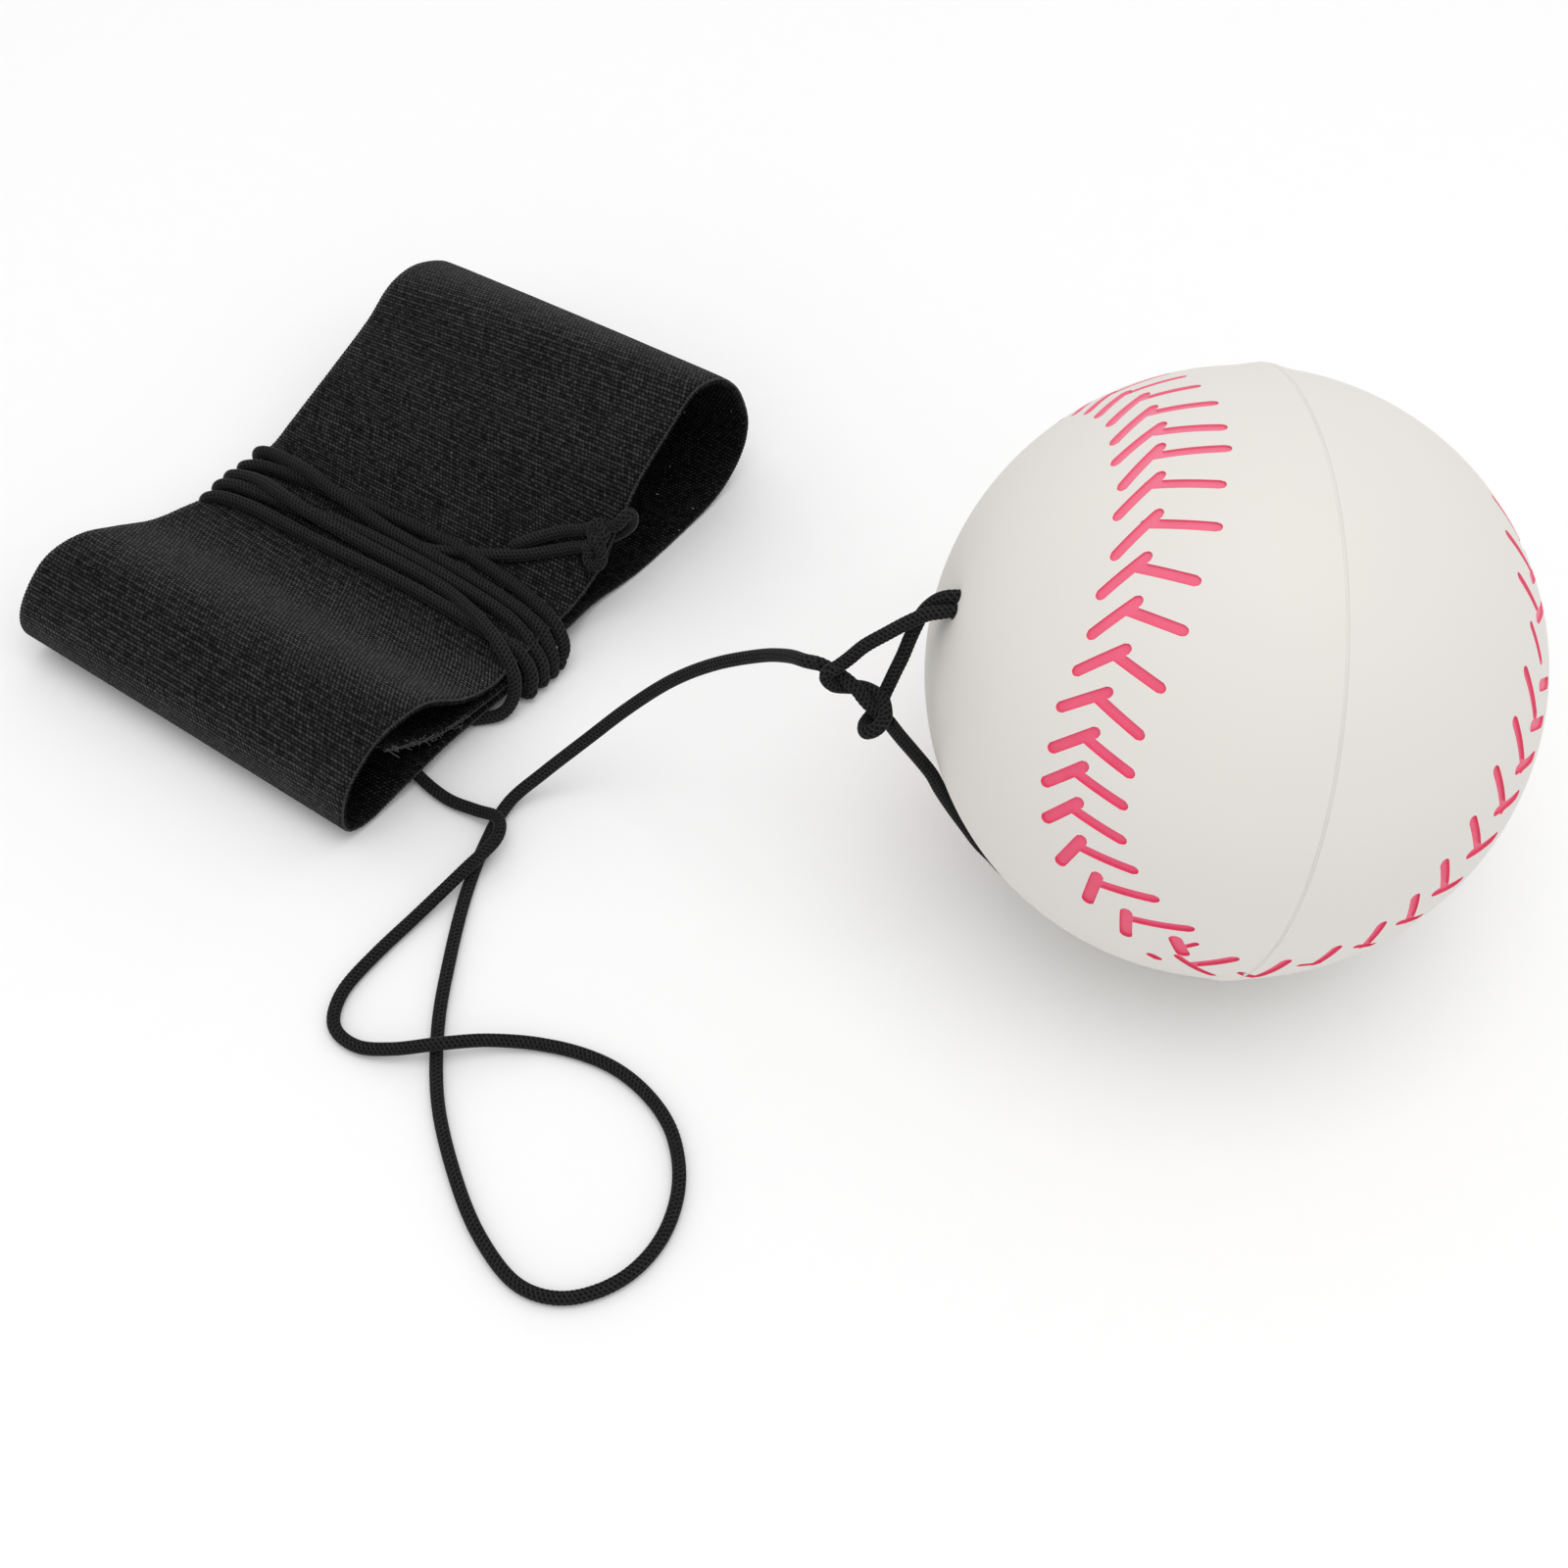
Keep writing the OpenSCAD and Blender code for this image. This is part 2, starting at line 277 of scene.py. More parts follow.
def makeFloor():
    half, tone = floor["size"] / 2, floor["tone"]
    corners = [(x * half, y * half, floor["height"]) for x, y in ((-1, -1), (1, -1), (1, 1), (-1, 1))]
    finish, shader, where = newFinish("paleFloor", floor)
    grain = where.add("ShaderNodeTexNoise", {"Scale": floor["grainScale"]})
    grain.mix((*tone, 1), (*(t * floor["grain"] for t in tone), 1)).into(shader, "Base Color")
    addPiece("floor", plainMesh("floor", corners, [(0, 1, 2, 3)]), finish)


def makeStudio():
    scene = bpy.context.scene
    scene.view_settings.view_transform = "Standard"
    scene.view_settings.look = "None"
    world = bpy.data.worlds.new("studioDome")
    scene.world = world
    world.use_nodes = True
    dome = world.node_tree.nodes["Background"]
    dome.inputs["Color"].default_value = (1, 1, 1, 1)
    dome.inputs["Strength"].default_value = studio["dome"]
    makeFloor()
    makeKeyLight()


# finishes

sockets = {"gloss": "Specular IOR Level", "rough": "Roughness", "sheen": "Sheen Weight",
           "sheenRough": "Sheen Roughness"}


def newFinish(name, look):
    # the finish, its shader with the look's plain values, and the place where patterns are read
    finish = bpy.data.materials.new(name)
    finish.use_nodes = True
    shader = finish.node_tree.nodes["Principled BSDF"]
    for key, socket in sockets.items():
        if key in look:
            shader.inputs[socket].default_value = look[key]
    return finish, shader, Plug(finish.node_tree).add("ShaderNodeTexCoord").pick("Object")


def addBump(height, shader, strength, distance):
    settings = {"Strength": strength, "Distance": distance * mm, "Height": height}
    height.add("ShaderNodeBump", settings).into(shader, "Normal")


weave = {
    "rowPitch": 0.43,  # one row of floats to the next, along the strip
    "floatPitch": 0.52,  # one float to the next, across the strip
    "sway": 0.3,  # how far the threads stray
    "swayScale": 420.0,
    "slant": 0.35,  # how far a float leans across its row
    "rib": 0.3,  # how far every other row sinks, and how much darker it is painted as shade
    "crown": 0.8,  # below 1, a float is flatter on top
    # deep is the painted shade in the gaps between floats, and each side's lit colour is the painted light on
    # their crowns
    "deep": (0.002, 0.002, 0.0021, 1),
    "uneven": (0.85, 0.25),  # how much the floats differ in tone, and what they share
    "patchy": (0.6, 0.7),  # the same for soft patches
    "patchScale": 160.0,
    "paleSpecks": (0.3, 0.3, 0.31, 1),
    "paleSpeckScale": 330.0,
    "bump": (1.0, 0.2),  # strength and depth
    "bumpUneven": 0.3,
    "rough": 0.85,
    "gloss": 0.015,
    "sheenRough": 0.2,
    "face": {"lit": (0.062, 0.062, 0.065, 1), "paleSpeckSize": 0.025, "sheen": 0.14},
    # the back face lies inside the lobes and gets a darker copy of the fabric: painted shade
    "back": {"lit": (0.04, 0.04, 0.041, 1), "paleSpeckSize": 0.05, "sheen": 0.0},
}


def wovenFinish(name, side):
    finish, shader, where = newFinish(name, {**weave, **side})
    cross = where.add("ShaderNodeUVMap", uv_map="weave").axes()
    shift = where.noise(weave["swayScale"]).pick("Color").axes()
    u = cross + (shift - 0.5) * weave["sway"]
    v = (cross.pick("Y") + (shift.pick("Y") - 0.5) * weave["sway"]) / weave["rowPitch"]
    row = v.sum("FLOOR", v)
    odd = row.sum("FLOORED_MODULO", row, 2.0)
    place = u / weave["floatPitch"] + odd * 0.5 + (v - row) * weave["slant"]
    cell = place.sum("FLOOR", place)
    crown = place.sum("SINE", (place - cell) * math.pi)
    ridge = v.sum("SINE", (v - row) * math.pi)
    height = crown.sum("POWER", crown, weave["crown"]) * ridge * (1 - odd * weave["rib"])
    spot = where.add("ShaderNodeCombineXYZ", {0: cell, 1: row})
    chance = where.add("ShaderNodeTexWhiteNoise", {"Vector": spot}, noise_dimensions="2D")
    cloud = where.noise(weave["patchScale"], 3.0)
    (own, shared), (patch, plain) = weave["uneven"], weave["patchy"]
    # painted light and shade: the floats' crowns are drawn lighter and the gaps and sunk rows darker, besides
    # the floats' own random tone and soft patches
    lit = height * (chance * own + shared) * (cloud * patch + plain)
    colour = lit.mix(weave["deep"], side["lit"])
    # small pale specks scattered at random over both faces of the fabric
    bits = where.add("ShaderNodeTexVoronoi", {"Vector": where, "Scale": weave["paleSpeckScale"]})
    speck = bits.sum("LESS_THAN", bits, side["paleSpeckSize"])
    speck.mix(colour, weave["paleSpecks"]).into(shader, "Base Color")
    addBump(height + chance * weave["bumpUneven"], shader, *weave["bump"])
    return finish


cordLook = {
    # deep is the painted shade between the yarns, lit the painted highlight on their tops
    "deep": (0.002, 0.002, 0.0021, 1),
    "lit": (0.043, 0.043, 0.044, 1),
    "fibreScale": 2600.0,
    "fibre": (0.9, 0.2),  # how much the fibres differ in tone, and what they share
    "dull": (0.9, 0.25),  # roughness between the yarns, and how much less on them
    "bump": (0.35, 0.06),
    "gloss": 0.12,
    "sheen": 0.12,
    "sheenRough": 0.3,
}


def cordFinish():
    finish, shader, where = newFinish("elasticCord", cordLook)
    yarn = where.add("ShaderNodeAttribute", attribute_name="yarn").pick("Fac")
    fibre = where.noise(cordLook["fibreScale"])
    (own, shared), (rough, less) = cordLook["fibre"], cordLook["dull"]
    raised = yarn * 0.5 + 0.5  # 0 between the yarns, 1 on top of them
    # painted shade between the yarns and painted highlight on their tops, besides the fibres' own tone
    lit = raised * raised * raised * (fibre * own + shared)
    lit.mix(cordLook["deep"], cordLook["lit"]).into(shader, "Base Color")
    (rough - lit * less).into(shader, "Roughness")
    addBump(fibre, shader, *cordLook["bump"])
    return finish


threadLook = {
    "selvedge": ((0.003, 0.003, 0.003, 1), (0.048, 0.048, 0.049, 1)),  # deep and lit
    "fray": ((0.02, 0.02, 0.021, 1), (0.16, 0.16, 0.165, 1)),
    "twistScale": 1500.0,
    "bump": (0.4, 0.05),
    "rough": 0.8,
    "gloss": 0.15,
    "sheen": 0.12,
    "sheenRough": 0.5,
}


def threadFinish(name, tones):
    finish, shader, where = newFinish(name, threadLook)
    twist = where.noise(threadLook["twistScale"])
    twist.mix(*tones).into(shader, "Base Color")
    addBump(twist, shader, *threadLook["bump"])
    return finish


rubber = {
    "tone": (0.74, 0.713, 0.668, 1),
    "cool": (0.72, 0.698, 0.662, 1),
    "cloudScale": 55.0,
    "grainScale": 1300.0,
    "dull": (0.12, 0.44),  # how much the roughness varies, and its least
    "bump": (0.08, 0.05),
    "gloss": 0.35,
}


def rubberFinish():
    finish, shader, where = newFinish("ballRubber", rubber)
    cloud = where.noise(rubber["cloudScale"], 3.0)
    grain = where.noise(rubber["grainScale"])
    varied, least = rubber["dull"]
    cloud.mix(rubber["tone"], rubber["cool"]).into(shader, "Base Color")
    (cloud * varied + least).into(shader, "Roughness")
    addBump(grain, shader, *rubber["bump"])
    return finish


paint = {
    "lit": (0.86, 0.115, 0.225, 1),
    "deep": (0.76, 0.06, 0.145, 1),
    "paintedSheenTone": (0.84, 0.30, 0.40, 1),  # painted sheen: the paint is drawn paler towards the back of the ball, where the light glances off it
    "back": (-0.57, 0.82),  # the way to the back, along the floor
    "paintedSheen": (-40.0, -4.0),  # where on that way the painted sheen begins and is whole
    "paintedSheenShare": 0.7,
    "coatScale": 420.0,
    "bump": (0.15, 0.08),
    "rough": 0.5,
    "gloss": 0.35,
}


def paintFinish():
    finish, shader, where = newFinish("stitchPaint", paint)
    coat = where.noise(paint["coatScale"], 3.0)
    axes = where.axes()
    (x, y), (begin, whole) = paint["back"], paint["paintedSheen"]
    # painted sheen: the paint turns paler along the way to the back of the ball
    back = axes.pick("Y") * y + axes * x
    paintedSheen = where.add("ShaderNodeMapRange", {"Value": back, "From Min": begin * mm, "From Max": whole * mm,
                                              "To Max": paint["paintedSheenShare"]})
    colour = coat.mix(paint["lit"], paint["deep"])
    paintedSheen.mix(colour, paint["paintedSheenTone"]).into(shader, "Base Color")
    addBump(coat, shader, *paint["bump"])
    return finish


bondLook = {
    "tone": (0.665, 0.645, 0.605, 1),
    "patchScale": 45.0,
    "patchSharp": 3.0,  # how sharply the patches part
    "patchFrom": 1.0,
    "bump": (0.1, 0.05),
    "rough": 0.55,
    "gloss": 0.3,
}


def bondFinish():
    finish, shader, where = newFinish("bondLine", bondLook)
    patch = where.noise(bondLook["patchScale"])
    share = patch * bondLook["patchSharp"] - bondLook["patchFrom"]
    share.mix(bondLook["tone"], rubber["tone"]).into(shader, "Base Color")
    addBump(patch, shader, *bondLook["bump"])
    return finish


makeCamera()
makeStudio()
fabric = wovenFinish("wovenFabric", weave["face"])
shadedFabricBack = wovenFinish("shadedWovenBack", weave["back"])
cordBlack = cordFinish()
rubberSkin, stitchPaint, bondTone = rubberFinish(), paintFinish(), bondFinish()
selvedgeThread = threadFinish("selvedgeThread", threadLook["selvedge"])
frayThread = threadFinish("frayThread", threadLook["fray"])
print("camera, studio and finishes made")

# the cord: one braided tube shape for every stretch of it

cordShape = {"diameter": 1.4, "braidPitch": 0.5, "relief": 0.04, "sides": 20, "crossings": 5.0, "rings": 4}


def braidTree():
    plug, radius, pitch, relief, sides = newTree("braidedCord", Radius="Float", Pitch="Float", Relief="Float",
                                                 Sides="Int")
    line = plug.add("GeometryNodeMeshToCurve", {0: plug})
    step = pitch / float(cordShape["rings"])
    line = plug.add("GeometryNodeResampleCurve", {0: line, "Length": step}, mode="LENGTH")
    spot = plug.add("GeometryNodeSplineParameter")
    line = line.keep("along", spot.pick("Length"))
    ring = plug.add("GeometryNodeCurvePrimitiveCircle", {"Resolution": sides, "Radius": radius})
    ring = ring.keep("around", spot.pick("Factor") * (2 * math.pi))
    tube = plug.add("GeometryNodeCurveToMesh", {0: line, "Profile Curve": ring, "Fill Caps": True})
    phase = plug.recall("along") / pitch * (2 * math.pi)
    turn = plug.recall("around") * cordShape["crossings"]
    yarn = plug.sum("MAXIMUM", plug.sum("SINE", phase + turn), plug.sum("SINE", phase - turn))
    out = plug.add("GeometryNodeInputNormal").scaled(yarn * relief)
    tube = plug.add("GeometryNodeSetPosition", {0: tube.keep("yarn", yarn), "Offset": out})
    tube = plug.add("GeometryNodeSetShadeSmooth", {0: tube})
    return endTree(tube, cordBlack)


braid = braidTree()


def addCord(name, *lines, spread=1.0):
    radius = (cordShape["diameter"] * spread / 2 - cordShape["relief"] / 2) * mm
    return runTree(name, lineMesh(name, lines), braid, Radius=radius, Pitch=cordShape["braidPitch"] * mm,
                   Relief=cordShape["relief"] * mm, Sides=cordShape["sides"])


freeRun = {
    "route": [
        (-28.4, -19.4, 0.8), (-30.6, -21, 0.8), (-32, -23.6, 0.8), (-31.6, -26.5, 0.8), (-29.5, -28.6, 0.8),
        (-26.5, -29.5, 0.8), (-23, -29.8, 0.8), (-19.5, -29.4, 1.2), (-16.3, -29.5, 2.3), (-14.5, -32, 2.6),
        (-14.8, -37, 2.3), (-15.8, -43.5, 1), (-16.3, -50, 0.7), (-16, -55.5, 0.7), (-14, -59, 0.7),
        (-10.5, -59.6, 0.8), (-6.8, -58, 1.5), (-2.7, -55, 2.4), (0.8, -51.5, 1.6), (5.5, -48.3, 0.7),
        (11.5, -46.6, 0.7), (17, -47, 0.7), (22, -49.2, 0.7), (26, -53.5, 0.7), (28, -59, 0.7),
        (27.5, -64.5, 0.7), (24.5, -69, 0.7), (20, -70.7, 0.7), (14.5, -69.3, 0.7), (8.5, -66, 0.7),
        (1, -60.2, 0.7), (-5, -53.2, 0.7), (-9.5, -46, 0.7), (-13.5, -38.5, 0.7), (-16.3, -31.5, 0.7),
        (-17.3, -26.5, 1.2), (-15.5, -22.5, 3.5), (-12.3, -18.5, 7.5), (-8.5, -15.2, 12.5), (-4, -13.2, 18),
        (1, -12.2, 23), (6.5, -11.9, 27.6), (10.6, -12.9, 31.2), (13.5, -14, 33.4), (14.8, -13.8, 33.7),
    ],
    "lowest": 0.7,
    "pull": 300.0,  # how far the ball can be drawn away
}


def makeFreeCord():
    line = smoothLine(freeRun["route"])
    line[:, 2] = np.maximum(line[:, 2], freeRun["lowest"])
    cord = addCord("freeCord", line)
    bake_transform(cord)
    # each point's share of the pull, at which the drawn-out cord would come forward at an even rate so that
    # its loops open
    along = np.zeros(len(cord.data.vertices), np.float32)
    cord.data.attributes["along"].data.foreach_get("value", along)
    run = runAlong(line)
    even = line[0, 0] + (line[-1, 0] + freeRun["pull"] - line[0, 0]) * run / run[-1]
    share = np.interp(along / along.max(), run / run[-1], (even - line[:, 0]) / freeRun["pull"])
    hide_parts("cord_run")
    lineLength(line) * mm
    print("free cord: %.0f mm" % lineLength(line))


makeFreeCord()

# turns of cord round the band's waist

turns = {
    "start": [(-60, -6.9, 0.78), (-70, -6.6, 0.78), (-74.7, -6.3, 1.2)],  # the end hidden under the band
    # each row is one pass over the top, from left to right, and its right-hand bend
    "tops": [
        [(-75.6, -6.3, 2.9), (-74.2, -6.7, 4.9), (-71.5, -5.9, 5.6), (-66.4, -5, 5.7), (-63, -4.6, 5.7),
         (-59.7, -4.2, 5.7), (-54.3, -3.6, 5.75), (-48.3, -3.2, 5.8), (-43, -3.1, 5.8), (-38, -3.5, 5.8),
         (-32, -4.3, 5.7), (-27.6, -5.3, 5.2), (-25.6, -6.1, 3.5), (-25.4, -7, 1.9), (-27, -7.6, 0.8)],
        [(-75.5, -3.6, 3.1), (-74.2, -4.1, 5.2), (-72, -3.9, 5.9), (-68.5, -4.1, 6.5), (-65, -4.6, 7.1),
         (-61.5, -5.2, 7.1), (-58, -5.4, 6.7), (-54.6, -5.5, 6.2), (-50.5, -5.6, 5.8), (-44, -5.7, 5.7),
         (-36.5, -6, 5.7), (-29, -6.9, 5.5), (-26.2, -7.9, 3.9), (-25.4, -8.6, 2.1), (-26.8, -9.2, 0.8)],
        [(-75.8, -10.6, 2.8), (-74.6, -10.7, 4.7), (-72.2, -10.2, 5.5), (-68, -9.6, 5.6), (-63.5, -8.9, 5.6),
         (-59, -8.1, 5.65), (-54, -7.5, 5.7), (-46, -7.3, 5.7), (-40, -7.5, 5.7), (-35, -7.8, 5.7),
         (-31, -8.3, 5.5), (-27, -9.4, 4.2), (-25.5, -10.2, 2.4), (-26.8, -11, 0.8)],
        [(-75.6, -13, 2.6), (-74.5, -13.2, 4.6), (-72.2, -12.5, 5.4), (-68, -11.9, 5.6), (-62, -11.7, 5.6),
         (-56, -11.6, 5.65), (-50, -11.2, 5.65), (-44, -11, 5.6), (-38, -11, 5.55), (-32, -11.2, 5.5),
         (-28, -11.2, 5), (-26, -11.7, 3.7), (-25.5, -12.3, 2.2), (-26.9, -12.9, 0.8)],
        [(-75.7, -8.6, 2.9), (-74.5, -8.9, 4.9), (-72, -8.5, 5.7), (-69, -8.6, 6.5), (-65.5, -9.2, 7.1),
         (-61.5, -9.5, 7), (-57.5, -9.3, 6.5), (-53, -9, 5.9), (-45, -8.8, 5.7), (-40.2, -9.1, 5.8),
         (-36.6, -10, 6.3), (-33.6, -11, 6.8), (-30.9, -12, 6.8), (-28.5, -13, 6.3), (-26.9, -13.7, 5.2),
         (-25.9, -14.5, 3.7), (-25.7, -15.7, 2), (-26.3, -17.3, 1), (-28.4, -19.4, 0.8)],
    ],
    "floor": 0.78,  # height of the passes under the band
    "under": (0.3, 0.6, 0.88),  # where on such a pass its points lie
    "bend": (0.9, 1.2),  # how far in from the left side the cord turns up, and how high it is there
    "spread": 1.07,  # the turns press flat against the band
    "steps": 10,
}


def makeTurns():
    route = list(turns["start"])
    inset, height = turns["bend"]
    for i, top in enumerate(turns["tops"]):
        if i:
            left, right = top[0], route[-1]
            for share in turns["under"]:
                route.append((right[0] + (left[0] - right[0]) * share,
                              right[1] + (left[1] - right[1]) * share, turns["floor"]))
            route.append((left[0] + inset, left[1], height))
        route += top
    line = smoothLine(route, turns["steps"])
    wound = addCord("woundCord", line, spread=turns["spread"])
    seat(wound, "wristband", "elastic_cord", "cord_wrap")
    print("wound cord: %.0f mm" % lineLength(line))


makeTurns()

# strands and knot that tie the cord to the band's edge

edgeTie = {
    "strand": [(-47.6, -5.6, 5.74), (-46, -4.85, 5.45), (-44.2, -3.9, 5.5), (-42.4, -3, 5.7), (-39.7, -2, 6),
               (-36, -0.3, 6.75), (-33, 1.5, 7.7), (-30.6, 2.7, 8.7), (-29, 3.2, 9.4)],
    "tail": [(-37.9, 0.1, 6.9), (-37.3, 0.4, 7.1), (-35.4, 1.9, 8.1), (-32.7, 3.4, 9.5), (-29.7, 4.3, 10.8)],
    "knot": [
        [(-29, 3.2, 9.4), (-28.2, 3.7, 10.3), (-27.6, 4.4, 11.4), (-27.9, 4.9, 12.1), (-28.7, 4.7, 11.8),
         (-28.6, 4, 11), (-27.8, 3.5, 10.9), (-27, 3.2, 10.2), (-26.5, 2.9, 9.4), (-26.7, 2.3, 8.4),
         (-27.5, 2.1, 8.3), (-28.1, 2.4, 8.9), (-27.9, 3, 9.8)],
        [(-29.7, 4.3, 10.8), (-28.6, 4.7, 11.6), (-27.4, 4.6, 11.9), (-27, 4.1, 11.5), (-27.5, 3.5, 10.6),
         (-28.3, 3.1, 9.9), (-28.6, 2.7, 9.2)],
        [(-27.6, 4.7, 11.7), (-27, 5.2, 12.1), (-26.1, 5.7, 12.6), (-25.7, 6.4, 13.4), (-25.5, 7.1, 13.5),
         (-25.4, 7.5, 12.7), (-25.6, 7.5, 11.5), (-26.4, 7.3, 10.2), (-27.6, 6.5, 9.1), (-28.6, 5.8, 8.3)],
    ],
}


def makeEdgeTie():
    strands = addCord("tieStrands", smoothLine(edgeTie["strand"]), smoothLine(edgeTie["tail"]))
    seat(strands, "wristband", "elastic_cord", "tie_strands")
    knot = addCord("edgeKnot", *(smoothLine(p) for p in edgeTie["knot"]))
    seat(knot, "wristband", "elastic_cord", "band_knot")
    print("tie at the band's edge made")


makeEdgeTie()

# knot and loop at the ball

ballSize = {
    "centre": (47, 11, 30),
    "radius": 30.0,
    "skinGap": 0.78,  # from the skin to the middle of a strand that lies on it
    "levels": 7,
    "cavityLevels": 5,
}
loop = {
    "standing": [(13.5, -14, 33.4), (14.8, -13.8, 33.7), (16, -13.3, 33.1), (17.7, -13.4, 33),
                 (19.1, -13.6, 32.7), (20.4, -13.8, 31.9), (21.6, -13.7, 31.1), (22.9, -13.5, 30.2)],
    "hitch": [(21.3, -11.6, 31.9), (21.2, -12.4, 30.8), (21, -13.5, 29.9), (21, -14.7, 29.6),
              (21.8, -15.7, 30), (22.7, -15.3, 30.7), (22.9, -14.2, 31.3), (22.4, -13.4, 31.7),
              (21.7, -12.8, 31.9), (20.6, -12.5, 32), (19.2, -12.5, 31.8), (18, -13.1, 31.7),
              (17.1, -14.1, 32.2), (16.6, -14.5, 32.8), (16.3, -14.6, 33.5), (16.4, -14.3, 34.1),
              (16.9, -13.7, 34.4)],
    "upper": [(21.3, -11.6, 31.9), (21.5, -10.5, 33.7), (21.7, -9.5, 35.3), (21.8, -8.4, 37.1),
              (22, -7.2, 38.9), (22.4, -6.6, 40), (23.1, -6.1, 41), (23.8, -5.8, 41.6), (24.4, -5.6, 41.9),
              (25.15, -5.1, 41.9), (26.15, -4.3, 41.4)],
    "tail": [(16.9, -13.7, 34.4), (17.7, -12.8, 35.4), (18.7, -11.6, 36.8), (20.2, -10.2, 38.2),
             (21.6, -9, 39.5), (23, -7.8, 40.5), (24, -7.2, 40.9), (24.65, -6.7, 41.05), (25.4, -6.2, 41.1),
             (26.4, -5.5, 40.6)],
    "lower": [(22.9, -13.5, 30.2), (23.8, -12.7, 27.8), (25, -11.6, 24.8), (26.5, -10.7, 21.8),
              (27.5, -10, 19.3), (28.5, -9.2, 15.95), (29.95, -8.6, 13.3), (31.35, -8.2, 11.15),
              (33.3, -8.4, 10.35), (34.9, -9.15, 10.65), (36.1, -10.3, 12.6), (37, -8.9, 13.8)],
}
tunnel = {
    "top": (25.7, -6.35, 42.5),
    "foot": (36.3, -11.05, 12.5),
    "bore": 0.95,
    "inset": 2.2,  # how far the bore and its strand stop short of top and foot
    "mouth": 0.74,
    "mouthPast": 0.5,  # how far a mouth's cutter runs on at both ends
    "mouthPoints": 3,  # how many of a strand's last points belong to its mouth
    "bare": 1.8,  # no paint nearer to a mouth than this
    "sides": 40,
}
tieSteps = {"hitch": 10, "strand": 8, "bore": 40}


def clearOfBall(line, ends):
    # lays a strand on the ball's skin where it would run through it, but for its last points in the mouth
    centre, reach = np.array(ballSize["centre"]), ballSize["radius"] + ballSize["skinGap"]
    line = np.array(line, float)
    away = np.linalg.norm(line - centre, axis=1)
    grow = np.maximum(1, reach / away)
    grow[len(line) - ends:] = 1
    return centre + (line - centre) * grow[:, None]


def makeBallTie():
    knot = addCord("ballKnot", smoothLine(loop["standing"]), smoothLine(loop["hitch"], tieSteps["hitch"]))
    seat(knot, "tie", "elastic_cord", "ball_knot")
    steps = tieSteps["strand"]
    for name, node, key in (("upperStrand", "loop_upper", "upper"), ("tailStrand", "knot_tail", "tail"),
                            ("lowerStrand", "loop_lower", "lower")):
        line = smoothLine(clearOfBall(loop[key], tunnel["mouthPoints"]), steps)
        strand = addCord(name, line)
        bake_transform(strand)
        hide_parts(node)
    ends = [Vector(tunnel["top"]), Vector(tunnel["foot"])]
    way = (ends[1] - ends[0]).normalized() * tunnel["inset"]
    inner = addCord("tunnelStrand", smoothLine([ends[0] + way, ends[1] - way], tieSteps["bore"]))
    seat(inner, "tie", "elastic_cord", "tunnel_strand")
    print("knot and loop at the ball made")


makeBallTie()

# ball: two carved halves and the bond between them

